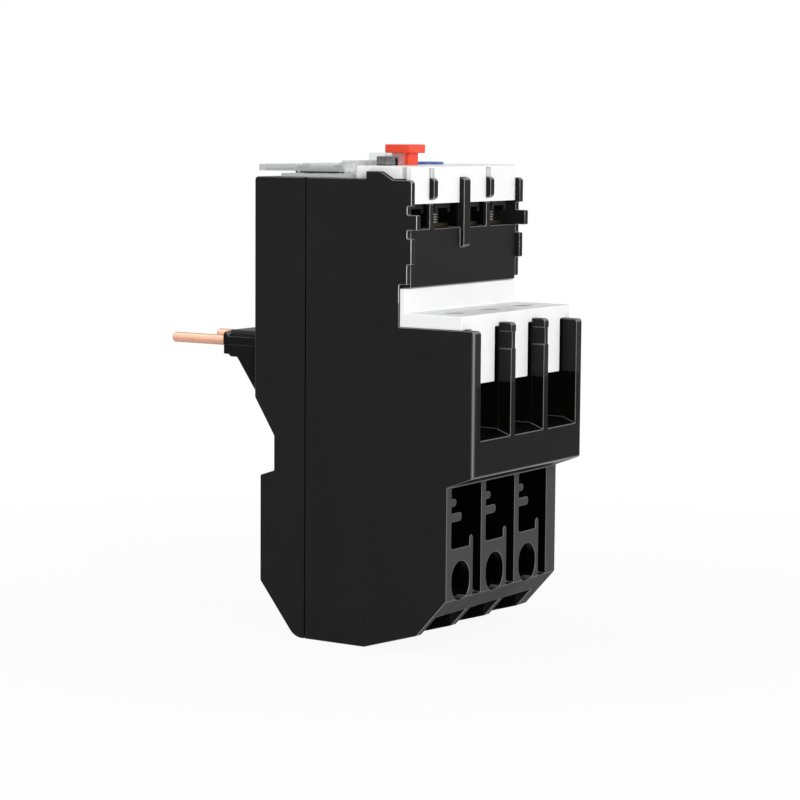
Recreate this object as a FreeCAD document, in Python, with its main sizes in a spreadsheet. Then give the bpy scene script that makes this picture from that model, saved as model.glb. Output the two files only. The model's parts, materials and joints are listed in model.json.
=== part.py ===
import FreeCAD, Part
import Sketcher
import math
import os

# Thermal overload relay, plug-on type, for the load side of a three-pole contactor.
# +Z points out of the setting face, +X towards the cable terminals, -X along the plug pins,
# and Y across the three poles. The origin is the middle of the flat foot on the back.

os.makedirs("parts", exist_ok=True)
doc = FreeCAD.newDocument("thermal_overload_relay")
sheet = doc.addObject("Spreadsheet::Sheet", "Dims")


class Size:
    """A length as a number, and as the sheet formula that gives it."""

    def __init__(self, value, text):
        self.value = value
        self.text = text

    def __add__(self, other):
        other = as_size(other)
        return Size(self.value + other.value, f"({self.text} + {other.text})")

    def __sub__(self, other):
        other = as_size(other)
        return Size(self.value - other.value, f"({self.text} - {other.text})")

    def __mul__(self, other):
        other = as_size(other)
        return Size(self.value * other.value, f"({self.text} * {other.text})")

    def __truediv__(self, other):
        other = as_size(other)
        return Size(self.value / other.value, f"({self.text} / {other.text})")

    def __radd__(self, other):
        return as_size(other) + self

    def __rsub__(self, other):
        return as_size(other) - self

    def __rmul__(self, other):
        return as_size(other) * self

    def __neg__(self):
        return self * -1


def as_size(number):
    """A plain number as a Size, or the Size that it already is."""
    return number if isinstance(number, Size) else Size(number, f"({number})")


def size(alias, value):
    """A driving dimension: one named cell of the sheet."""
    row = 1 + sum(1 for cell in sheet.getUsedCells() if cell.startswith("A"))
    sheet.set(f"A{row}", alias)
    sheet.set(f"B{row}", str(value))
    sheet.setAlias(f"B{row}", alias)
    return Size(value, f"Dims.{alias}")


# Poles and side walls
pole_pitch = size("pole_pitch", 13.6)
side_wall = size("side_wall", 2.1)
bay_wall = size("bay_wall", 1.3)
skin = size("skin", 1.8)
aux_wall = size("aux_wall", 1.4)
half_width = pole_pitch * 1.5 + side_wall
poles = [pole_pitch * step for step in (-1, 0, 1)]
inner_half = half_width - skin
aux_half = half_width - aux_wall

# Lower part of the flank outline
seam_offset = size("seam_offset", 7.1)
seam = -seam_offset
seam_gap = size("seam_gap", 0.3)
foot_half = size("foot_half", 7.9)
chamfer_foot_reach = size("chamfer_foot_reach", 20.9)
chamfer_foot_rise = size("chamfer_foot_rise", 3.8)
chamfer_rise = size("chamfer_rise", 11.7)
lower_front = size("lower_front", 28.0)
lower_top = size("lower_top", 35.1)
block_front = size("block_front", 34.1)
block_base = size("block_base", 37.4)

# Heights of the stacked levels above the foot
bay_floor = size("bay_floor", 46.0)
bay_height = size("bay_height", 21.2)
strip_height = size("strip_height", 8.0)
panel_height = size("panel_height", 11.85)
aux_bay_height = size("aux_bay_height", 10.25)
block_top = bay_floor + bay_height
panel_base = block_top + strip_height
aux_floor = panel_base + panel_height
top = aux_floor + aux_bay_height

# Upper part of the flank outline
strip_back = size("strip_back", 16.0)
panel_face = size("panel_face", 17.9)
rib_proud = size("rib_proud", 1.0)
lug_proud = size("lug_proud", 2.3)
lug_height = size("lug_height", 3.1)
shoulder_start = size("shoulder_start", 7.8)
shoulder_length = size("shoulder_length", 3.5)
shoulder_slope = size("shoulder_slope", 3.0)
shoulder_rise = size("shoulder_rise", 1.55)
rib_face = panel_face + rib_proud

# Rear outline
rear_face = size("rear_face", 20.2)
lower_rear = size("lower_rear", 18.75)
notch_rear = size("notch_rear", 15.2)
foot_corner = size("foot_corner", 9.8)
foot_round = size("foot_round", 3.9)
heel_rise = size("heel_rise", 11.4)
notch_base = size("notch_base", 34.1)
notch_step = size("notch_step", 1.2)
notch_top = size("notch_top", 42.7)
slope_top = size("slope_top", 50.6)

# Chambers inside
chamber_floor = size("chamber_floor", 3.8)
chamber_half = size("chamber_half", 6.2)
chamber_front = size("chamber_front", 10.8)
frame_level = size("frame_level", 51.0)
mechanism_front = size("mechanism_front", 9.4)
divider = size("divider", 1.2)
deck = size("deck", 2.0)
aux_back = mechanism_front + divider
deck_under = top - deck

# Steps in the upper flank outline
flank_step = size("flank_step", 0.2)
lug_rise = size("lug_rise", 3.05)
lug_step = size("lug_step", 1.75)
rib_base_rise = size("rib_base_rise", 4.8)
panel_lip = size("panel_lip", 0.7)
edge_round = size("edge_round", 0.8)
lug_top = aux_floor + lug_rise

# Main terminal bays and the posts between them
bay_half = (pole_pitch - bay_wall) / 2
bay_back = size("bay_back", 17.5)
bay_brow = size("bay_brow", 31.0)
bay_fall = size("bay_fall", 1.6)
post_head = size("post_head", 1.9)
head_back = size("head_back", 31.0)
head_depth = size("head_depth", 0.9)
head_rise = size("head_rise", 0.95)
neck_height = size("neck_height", 3.6)
screw_well = size("screw_well", 3.5)

# Lower cells, with their hooks and oval windows
cell_back = size("cell_back", 13.5)
cell_front = size("cell_front", 26.2)
cell_top = size("cell_top", 34.8)
cell_left = size("cell_left", -6.95)
cell_right = size("cell_right", 4.75)
cell_knee = size("cell_knee", 12.4)
cell_lip = size("cell_lip", 8.95)
cell_mouth = size("cell_mouth", 7.75)
chamfer_open = size("chamfer_open", 24.45)
chamfer_reach = size("chamfer_reach", 3.1)
plate_right = size("plate_right", 1.6)
cut_base = size("cut_base", 22.2)
hook_base = size("hook_base", 27.75)
hook_top = size("hook_top", 29.6)
hook_reach = size("hook_reach", 4.0)
hook_round = size("hook_round", 0.8)
nub_base = size("nub_base", 31.0)
nub_top = size("nub_top", 32.6)
nub_reach = size("nub_reach", 1.9)
horn_width = size("horn_width", 1.4)
horn_top = size("horn_top", 24.4)
corner_bevel = size("corner_bevel", 0.5)
oval_shift = size("oval_shift", -3.2)
oval_radius = size("oval_radius", 3.5)
oval_low = size("oval_low", 14.7)
oval_high = size("oval_high", 15.9)

# Inside of the rear shell, its snap tabs and the cover's hinge
inset_foot = size("inset_foot", 0.6)
inset_heel = size("inset_heel", 0.5)
inset_notch = size("inset_notch", 0.7)
inset_step = size("inset_step", 0.6)
ledge = size("ledge", 1.0)
tab_thickness = size("tab_thickness", 0.8)
tab_root = size("tab_root", 2.0)
tab_reach = size("tab_reach", 3.5)
tab_width = size("tab_width", 4.0)
tab_levels = [frame_level + rise for rise in (size("low_tab_rise", 8.0), size("high_tab_rise", 28.0))]
hinge_reach = size("hinge_reach", 19.0)
hinge_rise = size("hinge_rise", 1.15)
hinge_radius = size("hinge_radius", 0.95)
hinge_pin_radius = size("hinge_pin_radius", 0.45)
lug_inner = size("lug_inner", 5.8)
lug_outer = size("lug_outer", 8.2)
hinge_level = top + hinge_rise

# Pin carrier, set out from the level of the pins
pin_level = slope_top + size("pin_rise", 10.8)
carrier_half = size("carrier_half", 21.1)
carrier_reach = size("carrier_reach", 29.5)
carrier_base = pin_level - size("carrier_under", 2.2)
carrier_top = pin_level + size("carrier_over", 1.7)
carrier_core = size("carrier_core", 1.2)
carrier_lip = size("carrier_lip", 1.3)
carrier_step = size("carrier_step", 0.5)
carrier_foot = size("carrier_foot", 3.5)
carrier_slant = size("carrier_slant", 1.2)
tongue_inset = size("tongue_inset", 1.6)
tongue_base = pin_level - size("tongue_under", 8.4)
tongue_top = pin_level + size("tongue_over", 1.2)
tongue_length = size("tongue_length", 3.9)
collar_half = size("collar_half", 5.6)
collar_proud = size("collar_proud", 0.7)
collar_top = pin_level + size("collar_over", 2.7)
collar_crown = size("collar_crown", 3.0)
collar_bevel = size("collar_bevel", 0.5)
collar_face = -carrier_reach - collar_proud

# Mechanism plate, which hangs the pivots and seats the button springs
plate_drop = size("plate_drop", 8.1)
plate_thickness = size("plate_thickness", 1.0)
plate_edge = size("plate_edge", 0.5)
plate_base = top - plate_drop
plate_top = plate_base + plate_thickness

# Clearances
fit = size("fit", 0.1)
running = size("running", 0.05)
loose = size("loose", 0.3)

# Auxiliary terminals
rib_one = size("rib_one", -13.05)
rib_two = size("rib_two", -0.7)
rib_three = size("rib_three", 9.55)
thin_rib = size("thin_rib", 1.6)
thick_rib = size("thick_rib", 2.6)
skirt_drop = size("skirt_drop", 5.1)
skirt_thickness = size("skirt_thickness", 1.2)
aux_screw_reach = size("aux_screw_reach", 13.8)
aux_screw_radius = size("aux_screw_radius", 1.6)
aux_head_radius = size("aux_head_radius", 2.6)
aux_bar_outer = size("aux_bar_outer", 16.3)
aux_bar_half = size("aux_bar_half", 3.0)
aux_bar_thickness = size("aux_bar_thickness", 1.0)
aux_edges = [-aux_half, rib_one - thin_rib / 2, rib_one + thin_rib / 2, rib_two - thick_rib / 2,
             rib_two + thick_rib / 2, rib_three - thin_rib / 2, rib_three + thin_rib / 2, aux_half]
aux_centres = [(aux_edges[2 * bay] + aux_edges[2 * bay + 1]) / 2 for bay in range(4)]

# Main terminals
screw_reach = size("screw_reach", 23.8)
screw_radius = size("screw_radius", 2.0)
head_radius = size("head_radius", 3.5)
bar_thickness = size("bar_thickness", 1.2)
bar_half = size("bar_half", 4.0)
finger_half = size("finger_half", 4.6)
finger_length = size("finger_length", 11.4)
cover_wall = size("cover_wall", 1.2)
strip_front = size("strip_front", 30.9)
shelf_rise = size("shelf_rise", 2.9)

# Plug pins and heaters
pin_radius = size("pin_radius", 1.1)
pin_neck = size("pin_neck", 0.8)
pin_reach = size("pin_reach", 48.7)
pin_set_back = size("pin_set_back", 2.0)
pin_tip = size("pin_tip", 0.5)
pin_end = size("pin_end", 11.9)
link_thickness = size("link_thickness", 1.2)
link_half = size("link_half", 1.6)
bimetal_centre = size("bimetal_centre", 2.0)
bimetal_half = size("bimetal_half", 3.0)
bimetal_thickness = size("bimetal_thickness", 0.9)
bimetal_top = size("bimetal_top", 56.5)
winding_base = size("winding_base", 14.0)
winding_pitch = size("winding_pitch", 5.76)
winding_band = size("winding_band", 3.8)
winding_turns = 5
winding_wide = size("winding_wide", 3.9)
winding_deep = size("winding_deep", 1.2)
ribbon_thickness = size("ribbon_thickness", 0.4)
lead_thickness = size("lead_thickness", 1.2)
winding_top = winding_base + winding_pitch * winding_turns

# Buttons and dial
stop_centre = (size("stop_reach", 6.65), size("stop_side", -5.95))
reset_centre = (size("reset_reach", 4.0), size("reset_side", 6.0))
test_centre = (size("test_reach", 7.0), size("test_side", 14.5))
dial_centre = (size("dial_reach", -10.4), size("dial_side", -11.6))
face_rise = size("face_rise", 2.6)
tray_rise = size("tray_rise", 0.7)
face_back = size("face_back", 4.4)
dial_radius = size("dial_radius", 4.5)
dial_shaft = size("dial_shaft", 2.0)
stop_stem_x = size("stop_stem_x", 2.1)
stop_stem_y = size("stop_stem_y", 1.9)
plunger_radius = size("plunger_radius", 2.5)
test_radius = size("test_radius", 1.3)
reset_radius = size("reset_radius", 4.0)
face_top = top + face_rise

# Sealing post and its hood on the cover
post_near = (size("post_reach", 6.3), size("post_side", -16.4))
post_length = size("post_length", 2.7)
post_width = size("post_width", 4.3)
post_rise = size("post_rise", 4.5)
seal_level = size("seal_level", 3.3)
seal_radius = size("seal_radius", 0.8)

# Trip train
slide_travel = size("slide_travel", 2.0)
trip_pivot = (size("trip_pivot_reach", -8.0), poles[2] + size("trip_pivot_side", 4.6))
rocker_pivot = (size("rocker_reach", -1.0), size("rocker_side", -1.1))
flag_side = size("flag_side", 12.0)
flag_half_x = size("flag_half_x", 0.6)
flag_half_y = size("flag_half_y", 0.7)
flag_swing = size("flag_swing", 2.4)

# Terminal fittings
lead_half = size("lead_half", 0.6)
bar_back = size("bar_back", 0.8)
bar_front = size("bar_front", 28.0)
ear_height = size("ear_height", 6.0)
main_head_level = bay_floor + size("main_head_rise", 14.0)
head_height = size("head_height", 2.6)
main_clamp_half = size("main_clamp_half", 4.5)
slot_width = size("slot_width", 1.0)
slot_depth = size("slot_depth", 0.5)
driver_radius = size("driver_radius", 2.5)
aux_screw_depth = size("aux_screw_depth", 3.8)
aux_head_rise = size("aux_head_rise", 5.1)
aux_head_height = size("aux_head_height", 2.0)
aux_clamp_half = size("aux_clamp_half", 3.0)
aux_head_level = aux_floor + aux_head_rise

# Skirt, noses and faceplate
face_wall = size("face_wall", 1.2)
face_round = size("face_round", 0.4)
face_sheet = size("face_sheet", 1.5)
plate_under = face_top - face_sheet
skirt_inset = size("skirt_inset", 0.1)
skirt_face = panel_face - skirt_inset
skirt_back = skirt_face - skirt_thickness
skirt_base = top - skirt_drop
nose_drop = size("nose_drop", 4.2)
nose_base = top - nose_drop
nose_top = top + fit
rib_drop = size("rib_drop", 4.15)
rib_round = size("rib_round", 0.8)
groove_half = size("groove_half", 1.05)
groove_depth = size("groove_depth", 0.8)
groove_cap = size("groove_cap", 0.5)
side_groove_reach = size("side_groove_reach", 15.3)
side_groove_width = size("side_groove_width", 1.3)
side_groove_depth = size("side_groove_depth", 0.4)
tray_back = size("tray_back", -15.6)
tray_inset = size("tray_inset", 1.4)

# Lower frame and slides
frame_back = size("frame_back", 9.8)
frame_thickness = size("frame_thickness", 1.2)
slide_level = frame_level + frame_thickness + fit
slide_thickness = size("slide_thickness", 1.2)
slide_gap = size("slide_gap", 0.1)
slide_back = size("slide_back", -6.4)
slide_front = size("slide_front", 2.4)
slide_rim = size("slide_rim", 1.0)
slide_end = size("slide_end", 1.6)
slot_back = bimetal_thickness / 2 + slide_travel + loose
slot_front = bimetal_thickness / 2 + loose
nose_centre = size("nose_centre", -1.0)
nose_half = size("nose_half", 1.0)
nose_reach = size("nose_reach", 1.3)
rail_width = size("rail_width", 1.1)
rail_reach = size("rail_reach", 3.4)

# Levers and contacts under the mechanism plate
mech_back = size("mech_back", 17.0)
journal_radius = size("journal_radius", 1.0)
trip_shaft_half = size("trip_shaft_half", 0.9)
lower_arm = size("lower_arm", 7.5)
arm_thickness = size("arm_thickness", 1.2)
upper_arm_half = size("upper_arm_half", 1.0)
rocker_drop = size("rocker_drop", 2.8)
rocker_height = size("rocker_height", 2.5)
rocker_level = plate_base - rocker_drop
rocker_half = size("rocker_half", 1.0)
rocker_low = size("rocker_low", -18.0)
rocker_high = size("rocker_high", 16.0)
rocker_hub = size("rocker_hub", 2.4)
rocker_pin = size("rocker_pin", 1.2)
rocker_pin_drop = size("rocker_pin_drop", 2.9)
clip = size("clip", 0.8)
boss_reach = size("boss_reach", 3.8)
boss_side = size("boss_side", 9.0)
boss_half = size("boss_half", 1.0)
flag_rise = size("flag_rise", 0.5)
blade = size("blade", 0.4)
tip_half = size("tip_half", 0.8)
tip_length = size("tip_length", 1.5)
make_opening = size("make_opening", 0.1185)
lever_pivot = (size("lever_reach", -14.4), size("lever_side", 0.0))
lever_pin = size("lever_pin", 0.9)
lever_hub = size("lever_hub", 1.7)
lever_half = size("lever_half", 0.6)
lever_low = size("lever_low", 14.0)
lever_high = size("lever_high", 10.0)
lever_height = size("lever_height", 1.8)
lever_pin_drop = size("lever_pin_drop", 2.8)
cam_drop = size("cam_drop", 2.6)
cam_level = plate_base - cam_drop
cam_height = size("cam_height", 2.2)
cam_radius = size("cam_radius", 3.0)
cam_throw = size("cam_throw", 0.8)
dial_lift = size("dial_lift", 0.2)
dial_thickness = size("dial_thickness", 1.2)
dial_rim = size("dial_rim", 1.0)

# Buttons under and over the deck
flange_drop = size("flange_drop", 1.5)
flange_thickness = size("flange_thickness", 1.2)
flange_base = deck_under - flange_drop
flange_extra = size("flange_extra", 0.5)
spring_guide = size("spring_guide", 1.4)
guide_half = size("guide_half", 0.7)
spring_radius = size("spring_radius", 1.5)
test_spring_radius = size("test_spring_radius", 1.2)
spring_wire = size("spring_wire", 0.5)
spring_turns = 2
stop_cap_rise = size("stop_cap_rise", 2.5)
stop_cap_height = size("stop_cap_height", 1.8)
stop_cap_x = size("stop_cap_x", 3.3)
stop_cap_y = size("stop_cap_y", 3.05)
stop_cap_round = size("stop_cap_round", 0.6)
stop_cap_base = face_top + stop_cap_rise
stop_top = stop_cap_base + stop_cap_height
reset_lift = size("reset_lift", 1.6)
reset_thickness = size("reset_thickness", 1.5)
reset_base = top + reset_lift
spigot_radius = size("spigot_radius", 1.2)
spigot_height = size("spigot_height", 0.7)
test_recess = size("test_recess", 0.4)

# Clear cover
cover_gap = size("cover_gap", 1.2)
cover_side = size("cover_side", 0.3)
cover_rim = size("cover_rim", 1.0)
cover_sheet = size("cover_sheet", 0.8)
cover_near = size("cover_near", 4.2)
cover_far = size("cover_far", -0.6)
cover_step = size("cover_step", -10.4)
thumb_length = size("thumb_length", 3.1)
thumb_rise = size("thumb_rise", 1.0)
hood_wall = size("hood_wall", 0.4)
hood_gap = size("hood_gap", 0.6)
hood_back = size("hood_back", 0.8)
hood_lift = size("hood_lift", 0.2)
hood_rise = size("hood_rise", 2.6)

PIECES = []
TURN_TO = {"x": FreeCAD.Rotation(FreeCAD.Vector(0, 1, 0), 90),
           "y": FreeCAD.Rotation(FreeCAD.Vector(1, 0, 0), -90),
           "z": FreeCAD.Rotation()}
PLANES = {"XY": ("XY_Plane", 1), "XZ": ("XZ_Plane", -1), "YZ": ("YZ_Plane", 1)}


def bind(target, prop, value):
    """Tie one property to its sheet formula."""
    target.setExpression(prop, as_size(value).text)


def keep(name, shape):
    """Name a finished sub-part, which also names its file."""
    shape.Label = name
    PIECES.append(shape)
    return shape


def block(x, y, z):
    """A box between the two ends given along each axis."""
    shape = doc.addObject("Part::Box", "Block")
    for prop, axis, (low, high) in (("Length", "x", x), ("Width", "y", y), ("Height", "z", z)):
        bind(shape, prop, high - low)
        bind(shape, f"Placement.Base.{axis}", low)
    return shape


def rod(axis, start, radius, length):
    """A cylinder from its start point along one axis."""
    shape = doc.addObject("Part::Cylinder", "Rod")
    shape.Placement = FreeCAD.Placement(FreeCAD.Vector(), TURN_TO[axis])
    bind(shape, "Radius", radius)
    bind(shape, "Height", length)
    for base, value in zip("xyz", start):
        bind(shape, f"Placement.Base.{base}", value)
    return shape


def about(centre, half):
    """The two ends of a span of the given half-width."""
    return centre - half, centre + half


def fuse(*shapes):
    joined = doc.addObject("Part::MultiFuse", "Joined")
    joined.Shapes = list(shapes)
    joined.Refine = True
    return joined


def cut(base, *tools):
    result = doc.addObject("Part::Cut", "Shaped")
    result.Base = base
    result.Tool = tools[0] if len(tools) == 1 else fuse(*tools)
    result.Refine = True
    return result


def group(*shapes):
    """Like pieces that share one file, each still a solid of its own."""
    pieces = doc.addObject("Part::Compound", "Set")
    pieces.Links = list(shapes)
    return pieces


class Moulding:
    """A body built from sketched pads, pockets and fillets."""

    def __init__(self, name):
        self.body = doc.addObject("PartDesign::Body", name)
        keep(name, self.body)

    def sketch(self, plane, level, loops):
        role, sign = PLANES[plane]
        origin = next(f for f in self.body.Origin.OriginFeatures if f.Role == role)
        drawing = self.body.newObject("Sketcher::SketchObject", "Profile")
        drawing.AttachmentSupport = [(origin, "")]
        drawing.MapMode = "FlatFace"
        bind(drawing, "AttachmentOffset.Base.z", as_size(level) * sign)
        for loop in loops:
            if loop[0] == "circle":
                self.add_circle(drawing, *loop[1:])
            elif loop[0] == "slot":
                self.add_slot(drawing, *loop[1:])
            else:
                self.add_polygon(drawing, loop)
        return drawing

    def pin_point(self, drawing, curve, end, place):
        """Fix one point of a curve at its two coordinates."""
        for kind, value in (("DistanceX", place[0]), ("DistanceY", place[1])):
            value = as_size(value)
            number = drawing.addConstraint(
                Sketcher.Constraint(kind, -1, 1, curve, end, value.value))
            drawing.setExpression(f"Constraints[{number}]", value.text)

    def add_polygon(self, drawing, points):
        corners = [FreeCAD.Vector(as_size(u).value, as_size(v).value, 0) for u, v in points]
        first = drawing.GeometryCount
        count = len(points)
        for index in range(count):
            drawing.addGeometry(Part.LineSegment(corners[index], corners[(index + 1) % count]))
        for index in range(count):
            after = first + (index + 1) % count
            drawing.addConstraint(Sketcher.Constraint("Coincident", first + index, 2, after, 1))
        for index, place in enumerate(points):
            self.pin_point(drawing, first + index, 1, place)

    def add_circle(self, drawing, u, v, radius):
        centre = FreeCAD.Vector(as_size(u).value, as_size(v).value, 0)
        radius = as_size(radius)
        curve = drawing.addGeometry(Part.Circle(centre, FreeCAD.Vector(0, 0, 1), radius.value))
        number = drawing.addConstraint(Sketcher.Constraint("Radius", curve, radius.value))
        drawing.setExpression(f"Constraints[{number}]", radius.text)
        self.pin_point(drawing, curve, 3, (u, v))

    def add_slot(self, drawing, u, low, high, radius):
        """An upright slot with round ends about two centres."""
        radius = as_size(radius)
        ends = []
        for level, start in ((high, 0.0), (low, math.pi)):
            centre = FreeCAD.Vector(as_size(u).value, as_size(level).value, 0)
            circle = Part.Circle(centre, FreeCAD.Vector(0, 0, 1), radius.value)
            arc = drawing.addGeometry(Part.ArcOfCircle(circle, start, start + math.pi))
            self.pin_point(drawing, arc, 3, (u, level))
            ends.append(arc)
        upper, lower = (drawing.Geometry[arc] for arc in ends)
        left = drawing.addGeometry(Part.LineSegment(upper.EndPoint, lower.StartPoint))
        right = drawing.addGeometry(Part.LineSegment(lower.EndPoint, upper.StartPoint))
        number = drawing.addConstraint(Sketcher.Constraint("Radius", ends[0], radius.value))
        drawing.setExpression(f"Constraints[{number}]", radius.text)
        for arc, end, line, start in ((ends[0], 2, left, 1), (ends[1], 1, left, 2),
                                      (ends[1], 2, right, 1), (ends[0], 1, right, 2)):
            drawing.addConstraint(Sketcher.Constraint("Tangent", arc, end, line, start))

    def feature(self, kind, drawing, length):
        made = self.body.newObject(f"PartDesign::{kind}", kind)
        made.Profile = drawing
        bind(made, "Length", length)

    def pad(self, plane, loops, low, high):
        """Add the loops' area from one level to the next along the plane's axis."""
        low, high = as_size(low), as_size(high)
        level = high if plane == "XZ" else low
        self.feature("Pad", self.sketch(plane, level, loops), high - low)

    def pocket(self, plane, loops, low, high):
        """Take the loops' area away between two levels along the plane's axis."""
        low, high = as_size(low), as_size(high)
        level = low if plane == "XZ" else high
        self.feature("Pocket", self.sketch(plane, level, loops), high - low)

    def dress_edges(self, kind, prop, value, chosen):
        """Work the edges that the test picks on the body as it stands."""
        doc.recompute()
        base = self.body.Tip
        names = [f"Edge{index + 1}" for index, edge in enumerate(base.Shape.Edges) if chosen(edge)]
        if not names:
            raise RuntimeError(f"{self.body.Label}: no edge to work")
        worked = self.body.newObject(f"PartDesign::{kind}", kind)
        worked.Base = (base, names)
        bind(worked, prop, value)

    def fillet(self, radius, chosen):
        self.dress_edges("Fillet", "Radius", radius, chosen)

    def chamfer(self, width, chosen):
        self.dress_edges("Chamfer", "Size", width, chosen)


def rectangle(u, v):
    """The four corners of a rectangle between two ends on each axis."""
    return [(u[0], v[0]), (u[1], v[0]), (u[1], v[1]), (u[0], v[1])]


def lies_at(edge, **where):
    """True where an edge runs at the given coordinates, x, y or z."""
    spans = {"x": (edge.BoundBox.XMin, edge.BoundBox.XMax),
             "y": (edge.BoundBox.YMin, edge.BoundBox.YMax),
             "z": (edge.BoundBox.ZMin, edge.BoundBox.ZMax)}
    tolerance = 0.02
    for axis, place in where.items():
        target = as_size(place).value
        if any(abs(end - target) > tolerance for end in spans[axis]):
            return False
    return True


def main_housing():
    """The moulded body: flanks, foot, terminal cells, bays, chambers and the deck."""
    outline = [
        (seam, top), (shoulder_start, top), (shoulder_start, top + shoulder_rise),
        (shoulder_start + shoulder_length, top + shoulder_rise),
        (shoulder_start + shoulder_length + shoulder_slope, top - flank_step),
        (rib_face, top - flank_step), (rib_face, lug_top + lug_step),
        (panel_face, lug_top + lug_step), (panel_face, lug_top),
        (panel_face + lug_proud, lug_top), (panel_face + lug_proud, lug_top - lug_height),
        (panel_face, lug_top - lug_height), (panel_face, lug_top - lug_height - lug_step),
        (rib_face, lug_top - lug_height - lug_step), (rib_face, panel_base + rib_base_rise),
        (panel_face, panel_base + rib_base_rise), (panel_face, panel_base + panel_lip),
        (strip_back, panel_base + panel_lip), (strip_back, block_top), (block_front, block_top),
        (block_front, block_base), (lower_front, lower_top), (lower_front, chamfer_rise),
        (chamfer_foot_reach, chamfer_foot_rise), (foot_half, 0), (seam, 0)]
    housing = Moulding("main_housing")
    housing.pad("XZ", [outline], -half_width, half_width)
    housing.fillet(edge_round, lambda edge: lies_at(edge, x=block_front, z=block_top)
                   or lies_at(edge, x=block_front, z=block_base)
                   or lies_at(edge, x=rib_face, z=top - flank_step)
                   or lies_at(edge, x=block_front, y=half_width)
                   or lies_at(edge, x=block_front, y=-half_width))

    chambers = [rectangle((seam - 1, chamber_front), about(pole, chamber_half)) for pole in poles]
    housing.pocket("XY", chambers, chamber_floor, frame_level)
    housing.pocket("XZ", [rectangle((seam - 1, mechanism_front), (frame_level, deck_under))],
                   -inner_half, inner_half)
    above = [(aux_back, panel_base), (rib_face + 3, panel_base), (rib_face + 3, face_top),
             (shoulder_start, face_top), (shoulder_start, top), (aux_back, top)]
    housing.pocket("XZ", [above], -aux_half, aux_half)

    bay = [(bay_back, bay_floor), (bay_brow, bay_floor), (block_front + 1, bay_floor - bay_fall),
           (block_front + 1, block_top + 2), (bay_back, block_top + 2)]
    cell = [(cell_back, -1), (chamfer_open, -1), (chamfer_open, cell_mouth),
            (cell_front - chamfer_reach, cell_lip), (cell_front, cell_knee), (cell_front, cell_top),
            (cell_back, cell_top)]
    for pole in poles:
        housing.pocket("XZ", [bay], pole - bay_half, pole + bay_half)
        housing.pocket("XZ", [cell], pole + cell_left, pole + cell_right)
    hooked, tips, corners = [], [], []
    for pole in poles:
        left, right, gap = pole + cell_left, pole + cell_right, pole + plate_right
        hook, nub, horn = left + hook_reach, left + nub_reach, gap - horn_width
        hooked.append([(gap, chamfer_rise), (right, chamfer_rise), (right, cell_top), (left, cell_top),
                       (left, nub_top), (nub, nub_top), (nub, nub_base), (left, nub_base),
                       (left, hook_top), (hook, hook_top), (hook, hook_base), (left, hook_base),
                       (left, cut_base), (horn, cut_base), (horn, horn_top), (gap, horn_top)])
        tips += [(hook, hook_base), (hook, hook_top)]
        corners += [(nub, nub_base), (nub, nub_top), (horn, horn_top), (gap, horn_top), (left, cut_base)]
    housing.pocket("YZ", hooked, cell_front, lower_front + 1)
    housing.fillet(hook_round, lambda edge: any(lies_at(edge, y=y, z=z) for y, z in tips))
    housing.chamfer(corner_bevel, lambda edge: any(lies_at(edge, y=y, z=z) for y, z in corners))
    ovals = [("slot", pole + oval_shift, oval_low, oval_high, oval_radius) for pole in poles]
    housing.pocket("YZ", ovals, cell_front - chamfer_reach, lower_front + 1)

    wall_post = [pole_pitch * step for step in (-0.5, 0.5)]
    heads = [rectangle((head_back, block_front), about(y, post_head / 2)) for y in wall_post]
    housing.pad("XY", heads, block_top - head_depth, block_top + head_rise)
    housing.fillet(edge_round, lambda edge: lies_at(edge, x=block_front, z=block_top + head_rise))
    feet = [rectangle((head_back, block_front), about(y, post_head / 2)) for y in wall_post]
    housing.pad("XY", feet, bay_floor - bay_fall, block_top - head_depth - neck_height)

    passages = [rectangle(about(pole, bar_half + fit), (bay_floor, bay_floor + bar_thickness + fit))
                for pole in poles]
    housing.pocket("YZ", passages, chamber_front - 1, bay_back + 1)
    wells = [rectangle(about(screw_reach, screw_radius + 2 * fit), about(pole, screw_radius + 2 * fit))
             for pole in poles]
    housing.pocket("XY", wells, bay_floor - screw_well, bay_floor)
    slots = [rectangle(about(centre, aux_bar_half + fit),
                       (aux_floor - fit, aux_floor + aux_bar_thickness + fit))
             for centre in aux_centres]
    housing.pocket("YZ", slots, mechanism_front - 1, aux_back + 1)

    openings = [stop_slot(), ("circle", *reset_centre, plunger_radius + running),
                ("circle", *test_centre, test_radius + running), flag_slot()]
    housing.pocket("XY", openings, deck_under - 1, top)
    ledges = [rectangle((seam, mechanism_front), ends)
              for ends in ((-inner_half, -inner_half + ledge), (inner_half - ledge, inner_half))]
    housing.pad("XY", ledges, plate_base - ledge, plate_base)
    post = rectangle((post_near[0], post_near[0] + post_length),
                     (post_near[1], post_near[1] + post_width))
    housing.pad("XY", [post], top - deck, top + post_rise)
    wire = ("circle", post_near[1] + post_width / 2, top + seal_level, seal_radius)
    housing.pocket("YZ", [wire], post_near[0] - 1, post_near[0] + post_length + 1)


def flag_slot():
    """The slot that the trip flag swings in."""
    return rectangle((rocker_pivot[0] - flag_half_x - loose, rocker_pivot[0] + flag_half_x + flag_swing),
                     about(flag_side, flag_half_y + 2 * loose))


def stop_slot():
    """The square hole that the stop button's stem runs in."""
    return rectangle(about(stop_centre[0], stop_stem_x + fit), about(stop_centre[1], stop_stem_y + fit))


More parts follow.
